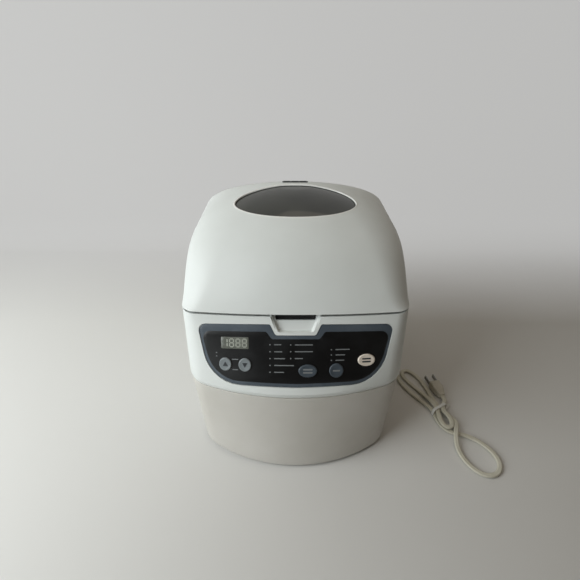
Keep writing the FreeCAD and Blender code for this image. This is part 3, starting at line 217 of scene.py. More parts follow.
@dataclass(frozen=True)
class Glazing(Finish):
    """Flat-polished glass or clear acrylic, tinted in the mass, with a faint film of steam and dust."""

    name: str
    tint: str
    film: str
    clear: float
    roughness: float = 0.06
    drift_mm: float = 45.0

    def look(self, nodes: Nodes) -> Look:
        """Give the tint, the film's drift and the clear body."""
        drift = nodes.noise(self.drift_mm, 3.0)
        return {"Base Color": nodes.tint(drift, (0.3, self.tint), (0.8, self.film)), "IOR": 1.49,
                "Roughness": nodes.spread(drift, (0.3, 0.8), (self.roughness, self.roughness + 0.1)),
                "Transmission Weight": self.clear, "Coat Weight": 0.5, "Coat Roughness": 0.04}


class Grain(Enum):
    """The direction in which a metal's surface was worked, as a stretch of its pattern."""

    ROLLED = (0.05, 1.0, 1.0)
    DRAWN = (1.0, 1.0, 0.05)
    CAST = (1.0, 1.0, 1.0)


@dataclass(frozen=True)
class WorkedMetal(Finish):
    """Bare or plated metal: a long or an even grain from how it was worked, and a little staining."""

    name: str
    colour: str
    stain: str
    roughness: float
    grain: Grain = Grain.ROLLED
    grain_mm: float = 0.6
    metallic: float = 1.0
    stain_mm: float = 30.0

    def look(self, nodes: Nodes) -> Look:
        """Give the working grain with its gloss, and the stain.

        Args:
            nodes: the material's nodes.

        Returns:
            The shader's inputs.
        """
        turned = add(nodes.tree, "Mapping", {"Vector": nodes.spot, "Scale": self.grain.value})
        lines = nodes.noise(self.grain_mm, 3.0, Vector=(turned, "Vector"))
        mark = nodes.noise(self.stain_mm, 5.0)
        gloss = (max(self.roughness - 0.08, 0.02), self.roughness + 0.1)
        return {"Base Color": nodes.tint(mark, (0.4, self.colour), (0.85, self.stain)),
                "Metallic": self.metallic, "Roughness": nodes.spread(lines, (0.3, 0.7), gloss),
                "Normal": nodes.bump(lines, 0.08, 0.05)}


@dataclass(frozen=True)
class FleckedCoating(Finish):
    """Sprayed non-stick coating: dark, slightly pebbled, with pale mineral flecks."""

    name: str
    colour: str
    fleck: str
    roughness: float = 0.35
    fleck_mm: float = 2.4
    spray_mm: float = 1.2

    def look(self, nodes: Nodes) -> Look:
        """Give the flecks and the pebbled spray."""
        cells = add(nodes.tree, "TexVoronoi", {"Vector": nodes.spot, "Scale": per_mm(self.fleck_mm)})
        return {"Base Color": nodes.tint((cells, "Distance"), (0.08, self.fleck), (0.16, self.colour)),
                "Roughness": self.roughness, "IOR": 1.4,
                "Normal": nodes.bump(nodes.noise(self.spray_mm, 3.0), 0.15, 0.1)}


@dataclass(frozen=True)
class PressedRubber(Finish):
    """Pressed rubber or silicone: matt, dusty, finely pitted."""

    name: str
    colour: str
    dust: str
    roughness: float = 0.75
    dust_mm: float = 5.0
    pit_mm: float = 0.8

    def look(self, nodes: Nodes) -> Look:
        """Give the dust and the pits."""
        dust, pits = nodes.noise(self.dust_mm, 6.0), nodes.noise(self.pit_mm, 2.0)
        return {"Base Color": nodes.tint(dust, (0.45, self.colour), (0.9, self.dust)), "IOR": 1.45,
                "Roughness": self.roughness, "Normal": nodes.bump(pits, 0.2, 0.1)}


@dataclass(frozen=True)
class PrintedBoard(Finish):
    """Fibreglass board under green solder mask, with paler copper tracks showing through."""

    name: str = "printed_circuit_board"
    mask: str = "#1d5a36"
    track: str = "#3f8a55"
    track_mm: float = 12.0

    def look(self, nodes: Nodes) -> Look:
        """Give the tracks under the mask."""
        tracks = add(nodes.tree, "TexBrick", {
            "Vector": nodes.spot, "Color1": linear(self.mask), "Color2": linear(self.mask),
            "Mortar": linear(self.track), "Mortar Size": 0.06, "Row Height": 0.3,
            "Scale": per_mm(self.track_mm),
        })
        return {"Base Color": (tracks, "Color"), "Roughness": 0.3, "IOR": 1.5}


WHITE_ABS = MouldedPlastic("moulded_abs_white", "#e2e6e4", "#dadedb", 0.5)
# The housing's white plastic, darker and warmer for the tub: painted shade, as the tub gets less light than the
# hood.
SHADED_TUB_ABS = MouldedPlastic("moulded_abs_white_painted_shade", "#d0cdc7", "#c7c4bc", 0.5)
RIM_ABS = MouldedPlastic("polished_abs_white", "#f0f1ee", "#e9e9e4", 0.22, 1.6, 0.02)
VENT_ABS = MouldedPlastic("moulded_abs_vent_charcoal", "#3b3d3e", "#454747", 0.5)
SLATE_FILM = PrintedFilm("printed_film_slate", "#4a535c", "#5a636c", 0.38, 0.05)
BLACK_FILM = PrintedFilm("printed_film_black", "#08090b", "#121416", 0.34, 0.0)
MARK_INK = PrintedFilm("printed_marks_grey", "#7e8284", "#6e7173", 0.5, 0.0)
LCD_FACE = PrintedFilm("lcd_polariser_grey", "#666962", "#74776f", 0.25, 0.2)
LCD_SEGMENT = PrintedFilm("lcd_segments_pale", "#a9aca2", "#999c92", 0.3, 0.2)
GREY_KEY = MouldedPlastic("painted_key_silver_grey", "#868d90", "#7a8083", 0.2, 0.8, 0.04, 6.0)
SLATE_KEY = MouldedPlastic("moulded_key_slate", "#3f4850", "#4a535c", 0.42, 0.8, 0.05, 6.0)
CREAM_KEY = MouldedPlastic("moulded_key_cream", "#efe6da", "#e4d9ca", 0.36, 0.8, 0.04, 8.0)
GLYPH_INK = PrintedFilm("printed_glyph_charcoal", "#2b2f33", "#3a3e42", 0.45)
SMOKED = Glazing("smoked_acrylic_window", "#2f302b", "#44453e", 0.22)
CLEAR = Glazing("tempered_glass_clear", "#c7cfcd", "#b3bab8", 0.9)
GALVANISED = WorkedMetal("galvanised_steel_sheet", "#a9acad", "#8f9293", 0.38)
POLISHED = WorkedMetal("polished_steel", "#c9cbcc", "#b5b7b8", 0.16, Grain.DRAWN, 0.4)
OXIDE = WorkedMetal("dark_oxide_steel", "#35363a", "#46403a", 0.45, Grain.CAST, 0.8, 0.8)
BRONZE = WorkedMetal("sintered_bronze", "#a9814a", "#8c6a3d", 0.42, Grain.CAST, 0.7)
NICKEL = WorkedMetal("nickel_plated_brass", "#8c8a84", "#6f6c66", 0.25, Grain.DRAWN, 0.5)
NON_STICK = FleckedCoating("non_stick_coating_dark", "#2c2d2f", "#6a6b6d")
SILICONE = PressedRubber("silicone_grey", "#8b8b87", "#a3a39f", 0.6)
# Black rubber for the rubber parts; it also paints shade as the pocket's pad and, in part, as the window's seal
# lip.
BLACK_RUBBER_AND_SHADE = PressedRubber("rubber_black_and_painted_shade", "#1b1b1c", "#3a3a39")
DARK_NYLON = MouldedPlastic("moulded_nylon_black", "#232426", "#2d2e30", 0.5, 1.0, 0.08, 20.0)
CERAMIC = MouldedPlastic("unglazed_ceramic", "#ddd8cc", "#cfc8b9", 0.7, 0.7, 0.15, 12.0)
PCB = PrintedBoard()
CORD_PVC = MouldedPlastic("soft_pvc_cord_ivory", "#cfccbd", "#bfbba9", 0.5, 0.9, 0.06, 25.0)
PLUG_PVC = MouldedPlastic("soft_pvc_plug_ivory", "#c9c4b6", "#b6b0a1", 0.48, 0.9, 0.08, 12.0)
TIE_PLASTIC = MouldedPlastic("coated_tie_white", "#e2e2de", "#d3d3ce", 0.45, 0.8, 0.08, 6.0)

# The finish that each material slot of the record wears on the CAD solids that stay in view.
SLOT_FINISH: dict[str, Finish] = {
    "white_plastic": WHITE_ABS, "rim_white": RIM_ABS, "slate_plastic": SLATE_FILM, "panel_black": BLACK_FILM,
    "lcd": LCD_FACE, "key_grey": GREY_KEY, "key_slate": SLATE_KEY, "key_cream": CREAM_KEY,
    "smoked_glass": SMOKED, "clear_glass": CLEAR, "silicone": SILICONE, "dark_rubber": BLACK_RUBBER_AND_SHADE,
    "steel_sheet": GALVANISED, "dark_steel": OXIDE, "bright_steel": POLISHED, "pan_aluminium": NON_STICK,
    "bearing_bronze": BRONZE, "pulley_plastic": DARK_NYLON, "board_green": PCB, "component_black": DARK_NYLON,
    "ceramic": CERAMIC, "cord_white": CORD_PVC, "tie_white": TIE_PLASTIC,
}


def put(name: str, data: bpy.types.ID) -> bpy.types.Object:
    """Add an object to the scene, at the origin."""
    made = bpy.data.objects.new(name, data)
    bpy.context.scene.collection.objects.link(made)
    return made


def mesh_of(name: str, bm: Shape) -> bpy.types.Mesh:
    """Turn a bmesh into a mesh; the bmesh is freed."""
    mesh = bpy.data.meshes.new(name)
    bm.to_mesh(mesh)
    bm.free()
    return mesh


def evaluated(thing: bpy.types.Object) -> bpy.types.Mesh:
    """Give an object's mesh with its modifiers, or its curve's bevel, worked out."""
    bpy.context.view_layer.update()
    graph = bpy.context.evaluated_depsgraph_get()
    return bpy.data.meshes.new_from_object(thing.evaluated_get(graph))


def finish_piece(name: str, bm: Shape, finish: Finish, body: str,
                 replaced: Sequence[str] = (), sharp_deg: float = 32.0) -> bpy.types.Object:
    """Turn a bmesh into a piece of the machine that rides on a body.

    Args:
        name: the new object's name.
        bm: its shape in the CAD frame; it is freed.
        finish: what it is made of.
        body: the CAD body it moves with.
        replaced: CAD nodes it stands for.
        sharp_deg: edges that turn by more than this stay sharp.

    Returns:
        The new object.
    """
    bmesh.ops.remove_doubles(bm, verts=bm.verts, dist=WELD)
    # A point that only splits an edge would leave slivers among the triangles.
    bmesh.ops.dissolve_verts(bm, verts=[v for v in bm.verts if len(v.link_edges) == 2])
    bmesh.ops.dissolve_degenerate(bm, edges=bm.edges, dist=WELD)
    bmesh.ops.recalc_face_normals(bm, faces=bm.faces)
    mesh = mesh_of(name, bm)
    mesh.shade_smooth()
    mesh.set_sharp_from_angle(angle=math.radians(sharp_deg))
    mesh.materials.append(finish.material())
    made = put(name, mesh)
    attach(made, body)
    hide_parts(*replaced)
    log.info("%s: %d faces, rides on %s", name, len(mesh.polygons), body)
    return made


def carve(work: Shape, tool: Shape) -> Shape:
    """Cut one closed shape with another.

    Args:
        work: the shape that is cut; it is freed.
        tool: the shape that it is cut with; it is freed.

    Returns:
        A new bmesh with the result.
    """
    holders = []
    for label, source in (("work", work), ("tool", tool)):
        bmesh.ops.recalc_face_normals(source, faces=source.faces)
        holders.append(put(label, mesh_of(label, source)))
    step = holders[0].modifiers.new("carve", "BOOLEAN")
    step.operation = "DIFFERENCE"
    step.solver = "EXACT"
    step.object = holders[1]
    mesh = evaluated(holders[0])
    result = bmesh.new()
    result.from_mesh(mesh)
    for used in [mesh] + [holder.data for holder in holders]:
        bpy.data.meshes.remove(used)
    return result


def merge(parts: Iterable[Shape]) -> Shape:
    """Put several shapes into one bmesh, side by side; the parts are freed."""
    whole = bmesh.new()
    for part in parts:
        mesh = mesh_of("part", part)
        whole.from_mesh(mesh)
        bpy.data.meshes.remove(mesh)
    return whole


def ring(bm: Shape, points: Iterable[Vector]) -> Ring:
    """Add a ring of points for a skin to run through."""
    return [bm.verts.new(p) for p in points]


def bridge(bm: Shape, rings: list[Ring], closed: bool = False) -> None:
    """Skin a row of rings with quads, each point to its match on the next ring.

    Args:
        bm: the bmesh that holds them.
        rings: the rings, in order, with the same number of points.
        closed: whether the last also joins the first.
    """
    followers = rings[1:] + (rings[:1] if closed else [])
    for near, far in zip(rings, followers):
        for i in range(len(near)):
            bm.faces.new((near[i - 1], near[i], far[i], far[i - 1]))


def loft(walks: Iterable[Walk], ends: Sequence[int] = (0, -1), closed: bool = False) -> Shape:
    """Make the skin that runs through a row of outlines.

    Args:
        walks: the outlines, in order, with the same number of points.
        ends: which of them are capped.
        closed: whether the last also joins the first; then none is capped.

    Returns:
        The new bmesh.
    """
    bm = bmesh.new()
    rings = [ring(bm, walk) for walk in walks]
    bridge(bm, rings, closed)
    for end in () if closed else ends:
        bm.faces.new(rings[end])
    return bm


def prism(points: Walk, low: float, high: float) -> Shape:
    """Make an upright closed prism.

    Args:
        points: its outline.
        low: its foot's height.
        high: its top's height.

    Returns:
        The new bmesh.
    """
    bm = bmesh.new()
    foot = bm.faces.new(ring(bm, lift(points, low)))
    grown = bmesh.ops.extrude_face_region(bm, geom=[foot])["geom"]
    top = [v for v in grown if isinstance(v, bmesh.types.BMVert)]
    bmesh.ops.translate(bm, vec=(0, 0, high - low), verts=top)
    bmesh.ops.recalc_face_normals(bm, faces=bm.faces)
    return bm


def put_at(place: Matrix, bm: Shape) -> Shape:
    """Move a shape to a place."""
    bmesh.ops.transform(bm, verts=bm.verts, matrix=place)
    return bm


def slice_at(bm: Shape, spot: Vector, normal: Vector, clear: bool = False) -> None:
    """Cut a shape along a plane, and clear what lies in front of the plane if asked to."""
    geom = bm.verts[:] + bm.edges[:] + bm.faces[:]
    bmesh.ops.bisect_plane(bm, geom=geom, plane_co=spot, plane_no=normal, clear_outer=clear)


def trim(bm: Shape, z: float) -> None:
    """Cut off what stands above a height and close the cut."""
    slice_at(bm, UP * z, UP, clear=True)
    bmesh.ops.holes_fill(bm, edges=bm.edges)


def lift(points: Iterable[Vector], z: float) -> Walk:
    """Put flat points at a height."""
    return [Vector((p.x, p.y, z)) for p in points]


def walk_at(place: Matrix, points: Iterable[Vector], z: float) -> Walk:
    """Put flat points at a height over a place."""
    return [place @ p for p in lift(points, z)]


def moved(points: Iterable[Vector], x: float, y: float) -> Walk:
    """Shift flat points."""
    return [p + Vector((x, y)) for p in points]


def ellipse(half_x: float, half_y: float, x: float = 0.0, y: float = 0.0, steps: int = 48) -> Walk:
    """Walk round an ellipse, counter-clockwise."""
    turns = [2 * math.pi * i / steps for i in range(steps)]
    return [Vector((x + half_x * math.cos(t), y + half_y * math.sin(t))) for t in turns]


def rounded_rectangle(half_x: float, half_y: float, radius: float, steps: int = 6) -> Walk:
    """Walk round a rectangle with rounded corners, centred on the origin.

    Args:
        half_x: half its width.
        half_y: half its height.
        radius: its corners' radius.
        steps: points in each corner, less one.

    Returns:
        The outline's points, counter-clockwise.
    """
    walk = []
    for quarter, (sx, sy) in enumerate(((1, 1), (-1, 1), (-1, -1), (1, -1))):
        for i in range(steps + 1):
            angle = QUARTER * (quarter + i / steps)
            walk.append(Vector((sx * (half_x - radius) + radius * math.cos(angle),
                                sy * (half_y - radius) + radius * math.sin(angle))))
    return walk


def rounded_corners(corners: Sequence[Triple], steps: int = 7) -> Walk:
    """Walk round a polygon with its corners rounded.

    Args:
        corners: x, y and radius of each corner.
        steps: points in each rounded corner, less one.

    Returns:
        The outline's points.
    """
    walk = []
    for i, (x, y, radius) in enumerate(corners):
        here = Vector((x, y))
        back = (Vector(corners[i - 1][:2]) - here).normalized()
        on = (Vector(corners[(i + 1) % len(corners)][:2]) - here).normalized()
        half = back.angle(on) / 2
        if not radius or half > math.radians(89.9):
            walk.append(here)
            continue
        reach = radius / math.tan(half)
        centre = here + (back + on).normalized() * (radius / math.sin(half))
        start, end = here + back * reach - centre, here + on * reach - centre
        sweep = start.angle_signed(end)
        walk += [centre + Matrix.Rotation(-sweep * k / steps, 2) @ start for k in range(steps + 1)]
    return walk


def fillet(inward: float, along: float, steps: int = 5) -> list[Pair]:
    """Give the (inset, rise) pairs of a rounded edge, from its end to the wall; below zero it flares out."""
    turns = [QUARTER * i / steps for i in range(steps + 1)]
    return [(inward * (1 - math.sin(t)), along * (1 - math.cos(t))) for t in turns]


def blend(start: float, end: float, share: float) -> float:
    """Give the value at a share of the way from one to another."""
    return start + (end - start) * share


@dataclass(frozen=True)
class Plan:
    """A body outline seen from above: bowed front and back, straight sides and rounded corners."""

    half: float
    front: float
    back: float
    bow: float
    corner: float
    back_bow: float
    back_corner: float

    def inset(self, depth: float) -> "Plan":
        """Give the outline that lies a depth inside this one."""
        return Plan(self.half - depth, self.front + depth, self.back - depth, self.bow - depth,
                    self.corner - depth, self.back_bow - depth, self.back_corner - depth)

    def points(self) -> Walk:
        """Walk round the outline from the front's left end.

        Returns:
            The same number of points for every outline, matched edge by edge.
        """
        front_y, back_y = self.front + self.bow, self.back - self.back_bow
        corner_x, rear_x = self.half - self.corner, self.half - self.back_corner
        reach, rear_reach = self.bow - self.corner, self.back_bow - self.back_corner
        corner_y = front_y - math.sqrt(reach ** 2 - corner_x ** 2)
        rear_y = back_y + math.sqrt(rear_reach ** 2 - rear_x ** 2)
        turn, rear = math.asin(corner_x / reach), math.pi - math.asin(rear_x / rear_reach)
        # Centre, radius, start and end of the turn, and steps; a straight stretch has no radius and runs in y.
        arcs = (
            (0.0, front_y, self.bow, -turn, turn, FRONT_STEPS),
            (corner_x, corner_y, self.corner, turn, QUARTER, SIDE_STEPS),
            (self.half, corner_y, 0.0, 0.0, rear_y - corner_y, SIDE_STEPS),
            (rear_x, rear_y, self.back_corner, QUARTER, rear, SIDE_STEPS),
            (0.0, back_y, self.back_bow, rear, 2 * math.pi - rear, BACK_STEPS),
            (-rear_x, rear_y, self.back_corner, -rear, -QUARTER, SIDE_STEPS),
            (-self.half, rear_y, 0.0, 0.0, corner_y - rear_y, SIDE_STEPS),
            (-corner_x, corner_y, self.corner, -QUARTER, -turn, SIDE_STEPS),
        )
        walk = []
        for x, y, radius, start, end, steps in arcs:
            for i in range(steps):
                at = start + (end - start) * i / steps
                curved = (x + radius * math.sin(at), y - radius * math.cos(at))
                walk.append(Vector(curved if radius else (x, y + at)))
        return walk


def between(low: Plan, high: Plan, share: float) -> Walk:
    """Give the outline at a share of the straight way from one outline to another."""
    return [a.lerp(b, share) for a, b in zip(low.points(), high.points())]


@dataclass
class Casing:
    """The tub and the upper housing with its slanted front."""

    half: float = 129 * MM
    back: float = 157 * MM
    back_bow: float = 1500 * MM
    back_corner: float = 30 * MM
    # Each outline: how much narrower it is than the widest, its front, its front's bow and its corners.
    base: tuple[float, ...] = (5.5 * MM, -173 * MM, 190 * MM, 47 * MM)
    belt: tuple[float, ...] = (2.5 * MM, -164.5 * MM, 290 * MM, 34 * MM)
    seam: tuple[float, ...] = (0.0, -120 * MM, 1100 * MM, 18 * MM)
    foot_z: float = 4 * MM
    belt_z: float = 117 * MM
    seam_z: float = 200 * MM
    belt_gap: float = 0.4 * MM
    rim_drop: float = 1.8 * MM
    wall: float = 2.7 * MM
    # Rounded edges: how far each is set in, and how far it reaches along the wall.
    heel: Pair = (2.5 * MM, 2.5 * MM)
    tub_edge: Pair = (0.6 * MM, 0.6 * MM)
    ridge: Pair = (2.6 * MM, 7 * MM)
    brow: float = 0.5 * MM
    rim_width: float = 0.2 * MM
    rim_taper: float = 3 * MM
    tub_step: float = 1.0 * MM
    # The back's vents: their middles in millimetres, half sizes with the corner, and heights.
    vent_mm: range = range(-86, -37, 8)
    vent_slot: Triple = (1.5 * MM, 9 * MM, 1.4 * MM)
    vent_span: Pair = (62 * MM, 96 * MM)
    exit_radius: float = 6.2 * MM
    exit_y: float = 150 * MM
    exit_reach: float = 22 * MM

    def __post_init__(self) -> None:
        """Set the rim's height and the three outlines that the walls run between."""
        self.rim_z = self.seam_z - self.rim_drop
        self.base_plan, self.belt_plan, self.seam_plan = (
            Plan(self.half - narrowing, front, self.back, bow, corner, self.back_bow, self.back_corner)
            for narrowing, front, bow, corner in (self.base, self.belt, self.seam))

    def wall_walks(self, low: Plan, high: Plan, span: Pair, foot_edge: Pair, top_edge: Pair,
                   depth: float = 0.0, rows: int = 8) -> list[Walk]:
        """Give the outlines that one wall runs through.

        Args:
            low: the outline at the wall's foot.
            high: the outline at its top.
            span: heights of the foot and the top.
            foot_edge: how far the foot's edge is set in, and how far it reaches up.
            top_edge: the same for the top's edge, reaching down.
            depth: how far inside the outlines the wall lies.
            rows: outlines between the two edges, plus one.

        Returns:
            The outlines from foot to top.
        """
        foot, top = span
        first, last = foot + foot_edge[1], top - top_edge[1]
        walks = [lift(low.inset(depth + inset).points(), foot + rise) for inset, rise in fillet(*foot_edge)]
        for share in (i / rows for i in range(1, rows)):
            flat = between(low.inset(depth), high.inset(depth), share)
            walks.append(lift(flat, blend(first, last, share)))
        for inset, rise in reversed(fillet(*top_edge)):
            walks.append(lift(high.inset(depth + inset).points(), top - rise))
        return walks

    def upper_wall(self, foot: float, top_edge: Pair, depth: float = 0.0) -> list[Walk]:
        """Give the outlines of the upper housing's wall, from a foot up to the rim."""
        return self.wall_walks(self.belt_plan, self.seam_plan, (foot, self.rim_z), self.ridge, top_edge, depth)

    def skin(self) -> Shape:
        """Make the upper housing's outside alone, to lay the panel's pieces on."""
        return loft(self.upper_wall(self.belt_z, (0.0, self.brow)), ends=())

    def tub(self) -> bpy.types.Object:
        """Build the lower housing with its vents and the cord's hole.

        Returns:
            The new piece.
        """
        span = (self.foot_z, self.belt_z - self.belt_gap / 2)
        sides = (self.base_plan, self.belt_plan.inset(self.tub_step), span, self.heel, self.tub_edge)
        bm = loft(self.wall_walks(*sides) + self.wall_walks(*sides, self.wall)[::-1], closed=True)
        slot = rounded_rectangle(*self.vent_slot, 3)
        tools = [prism(moved(slot, x * MM, self.back), *self.vent_span) for x in self.vent_mm]
        hole = prism(ellipse(self.exit_radius, self.exit_radius), -self.exit_reach, self.exit_reach)
        place = Matrix.Translation((EXIT_X, self.exit_y, EXIT_Z)) @ Matrix.Rotation(QUARTER, 4, "X")
        bm = carve(bm, merge(tools + [put_at(place, hole)]))
        # The tub wears the white plastic with painted shade.
        return finish_piece("tub", bm, SHADED_TUB_ABS, "base", ["lower_housing"])

    def hood(self, openings: Sequence[Shape]) -> bpy.types.Object:
        """Build the upper housing.

        Args:
            openings: the shapes that it is cut with, in turn; they are freed.

        Returns:
            The new piece.
        """
        foot = self.belt_z + self.belt_gap / 2
        taper = (self.brow + self.rim_width - self.wall, self.rim_taper)
        outer = self.upper_wall(foot, (self.brow, self.brow))
        bm = loft(outer + self.upper_wall(foot, taper, self.wall)[::-1], closed=True)
        for opening in openings:
            bm = carve(bm, opening)
        return finish_piece("hood", bm, WHITE_ABS, "base", ["upper_housing"])


@dataclass
class Slant:
    """The slanted front as a drawing board: x to the right, y up the slope, z outwards."""

    casing: Casing
    reach: float = 30 * MM
    # How far below the board a point lies that misses the housing.
    past_edge: float = 6 * MM

    def __post_init__(self) -> None:
        """Lay the board on the slant and keep the housing's outside to drop points on."""
        low, high = self.casing.belt_plan.front, self.casing.seam_plan.front
        lean = math.atan2(high - low, self.casing.seam_z - self.casing.belt_z)
        top = Matrix.Translation((0, high, self.casing.seam_z))
        self.board = top @ Matrix.Rotation(QUARTER - lean, 4, "X")
        self.inward = self.board.to_3x3() @ DOWN
        self.skin = BVHTree.FromBMesh(self.casing.skin())

    def on_skin(self, x: float, y: float, out: float = 0.0) -> Vector:
        """Give the point that stands a height above the housing's outside.

        Args:
            x: distance right of the middle.
            y: distance up the slope from the seam.
            out: height above the outside.

        Returns:
            The point in the CAD frame.
        """
        hit = self.skin.ray_cast(self.board @ Vector((x, y, self.reach)), self.inward)[0]
        ground = hit if hit else self.board @ Vector((x, y, -self.past_edge))
        return ground - self.inward * out

    def raise_walk(self, points: Walk, out: float) -> Walk:
        """Give an outline at a height above the housing's outside."""
        return [self.on_skin(p.x, p.y, out) for p in points]

    def place(self, bm: Shape) -> Shape:
        """Move a shape from the drawing board to the slant without bending it."""
        return put_at(self.board, bm)

    def plate(self, points: Walk, low: float, high: float, edge: float = 0.0, step: float = 5 * MM) -> Shape:
        """Make a thin plate that follows the housing's curve.

        Args:
            points: its outline on the board.
            low: height of its underside above the housing.
            high: height of its face.
            edge: radius of the face's edge.
            step: spacing of the cuts that let it bend.

        Returns:
            The plate in the CAD frame.
        """
        bm = prism(points, low, high)
        if edge:
            rims = [e for e in bm.edges if all(v.co.z > (low + high) / 2 for v in e.verts)]
            bmesh.ops.bevel(bm, geom=rims, offset=edge, offset_type="OFFSET", affect="EDGES", segments=2,
                            profile=0.5, material=-1, clamp_overlap=True)
        for axis, normal in enumerate((Vector((1, 0, 0)), Vector((0, 1, 0)))):
            values = [p[axis] for p in points]
            start, width = min(values), max(values) - min(values)
            count = int(width / step)
            for i in range(1, count + 1):
                slice_at(bm, normal * (start + width * i / (count + 1)), normal)
        for vert in bm.verts:
            vert.co = self.on_skin(*vert.co)
        return bm


class KeyShape(Enum):
    """The sign that a key carries."""

    UP = "arrow up"
    DOWN = "arrow down"
    ONE_DASH = "one dash"
    TWO_DASHES = "two dashes"


@dataclass(frozen=True)
class Key:
    """One key of the panel: where it sits, its half sizes, what it is made of and its sign."""

    node: str
    body: str
    slot: str
    finish: Finish
    x: float
    down: float
    half_x: float
    half_y: float
    sign: KeyShape
    ink: Finish

    def rim(self, share: float = 1.0, margin: float = 0.0) -> Walk:
        """Walk round the key at a share of its size, or a margin outside it."""
        return ellipse(self.half_x * share + margin, self.half_y * share + margin, self.x, -self.down)


@dataclass
class ControlPanel:
    """The panel's border and face, the display, the keys, the printed marks and the finger pocket."""

    slant: Slant
    top: float = 9.8 * MM
    bottom: float = 77.5 * MM
    sag: float = 2.2 * MM
    top_half: float = 109.5 * MM
    bottom_half: float = 96.5 * MM
    top_corner: float = 8 * MM
    bottom_corner: float = 42 * MM
    sag_corner: float = 60 * MM
    flare: float = 6 * MM
    flare_corner: float = 3 * MM
    notch_corner: float = 4 * MM
    pocket_top: float = 26.3 * MM
    pocket_bottom: float = 18.5 * MM
    pocket_height: float = 18 * MM
    pocket_over: float = 6 * MM
    pocket_corner: float = 3 * MM
    pocket_lip: float = 4 * MM
    pocket_depth: float = 13 * MM
    pocket_wall: float = 2 * MM
    floor_share: float = 0.62
    floor_tilt: float = 0.24
    grip_height: float = 5.6 * MM
    grip_in: float = 2 * MM
    grip_over: float = 8 * MM
    grip_corner: float = 1.2 * MM
    # How far inside the deep end the black pad stays; the pad is painted shade under the lid's edge.
    shade_pad_gap: float = 0.3 * MM
    panel_sink: float = 0.8 * MM
    panel_slack: float = 0.4 * MM
    film_foot: float = -1.6 * MM
    face_proud: float = 0.12 * MM
    face_margins: Pair = (8 * MM, 4 * MM)
    key_proud: float = 1.0 * MM
    key_depth: float = 13 * MM
    key_slack: float = 1.2 * MM
    display_x: float = -67.5 * MM
    display_down: float = 30.8 * MM
    display_half_x: float = 15.5 * MM
    display_half_y: float = 6.65 * MM
    display_ledge: float = 1 * MM
    # Depth below the board and height above it of the recess and the holes in the housing.
    recess_top: float = 5 * MM
    pocket_hole: Pair = (-17 * MM, 12 * MM)
    key_hole: Pair = (-13.4 * MM, 10 * MM)
    display_hole: Pair = (-12 * MM, 10 * MM)
    digits: str = "1888"
    digit_step: float = 7.2 * MM
    keys: tuple[Key, ...] = (
        Key("key_up", "up_key", "key_grey", GREY_KEY, -78.5 * MM, 55.2 * MM, 7.2 * MM, 7.6 * MM,
            KeyShape.UP, GLYPH_INK),
        Key("key_down", "down_key", "key_grey", GREY_KEY, -56.3 * MM, 55.2 * MM, 7.2 * MM, 7.6 * MM,
            KeyShape.DOWN, GLYPH_INK),
        Key("key_select", "select_key", "key_slate", SLATE_KEY, 13.4 * MM, 61 * MM, 10.4 * MM, 7.2 * MM,
            KeyShape.TWO_DASHES, MARK_INK),
        Key("key_colour", "colour_key", "key_slate", SLATE_KEY, 45.1 * MM, 61 * MM, 8 * MM, 8 * MM,
            KeyShape.ONE_DASH, MARK_INK),
        Key("key_start", "start_key", "key_cream", CREAM_KEY, 79 * MM, 50.3 * MM, 10 * MM, 7 * MM,
            KeyShape.TWO_DASHES, GLYPH_INK),
    )
    # A key's section from its shoulder to its dish: share of its size, and drop below its top in millimetres.
    key_profile: tuple[Pair, ...] = (
        (1.0, 1.3), (0.98, 0.6), (0.94, 0.2), (0.88, 0.0), (0.8, 0.08), (0.5, 0.3), (0.2, 0.42))
    # The programme lists, in millimetres: x, distance down and length of each dash, with a dot before it.
    list_rows: tuple[Triple, ...] = (
        (-28.3, 32.1, 8), (-28.3, 39.9, 9), (-28.3, 47.5, 12), (-28.3, 55.1, 22), (-28.3, 62.7, 11),
        (-5.5, 32.2, 20), (-5.5, 39.7, 20), (-5.5, 47.3, 9),
        (39.4, 37.7, 16), (39.4, 43.7, 11), (39.4, 49.7, 10))
    # The dashes beside the keys and the display, in millimetres: x, distance down and half length.
    key_dashes: tuple[Triple, ...] = (
        (-67.4, 49.5, 3.6), (-67.4, 61.2, 3.2), (-88.5, 42.5, 0.8), (-88.5, 46.5, 0.8))

    def __post_init__(self) -> None:
        """Set the height of the black face over the housing's outside."""
        self.face = self.face_proud - self.panel_sink

    def outline(self, margin_top: float = 0.0, margin_side: float = 0.0) -> Walk:
        """Walk round the panel, with its notch below the finger pocket.

        Args:
            margin_top: how far inside the border's top edge to stay.
            margin_side: how far inside its other edges.

        Returns:
            The outline's points on the board.
        """
        top, bottom = -(self.top + margin_top), -(self.bottom - margin_side)
        narrow = self.pocket_bottom + self.pocket_lip + margin_side
        notch = -(self.pocket_height + self.pocket_lip + margin_side)
        upper, lower = self.top_half - margin_side, self.bottom_half - margin_side
        turn = self.bottom_corner - margin_side
        return rounded_corners([
            (-upper, top, self.top_corner), (-lower, bottom, turn), (0, bottom - self.sag, self.sag_corner),
            (lower, bottom, turn), (upper, top, self.top_corner), (narrow + self.flare, top, self.flare_corner),
            (narrow, notch, self.notch_corner), (-narrow, notch, self.notch_corner),
            (-narrow - self.flare, top, self.flare_corner),
        ])

    def cup_outline(self, wide: float, low: float, over: float, foot: float, corner: float) -> Walk:
        """Walk round an opening that narrows from past the seam to its foot."""
        return rounded_corners([(-wide, over, 0), (-low, foot, corner), (low, foot, corner), (wide, over, 0)])

    def pocket(self, margin: float) -> Walk:
        """Walk round the finger pocket, open past the seam, a margin outside it."""
        slope = (self.pocket_top - self.pocket_bottom) / self.pocket_height
        return self.cup_outline(
            self.pocket_top + slope * self.pocket_over + margin, self.pocket_bottom + margin,
            self.pocket_over, -self.pocket_height - margin, self.pocket_corner + margin)

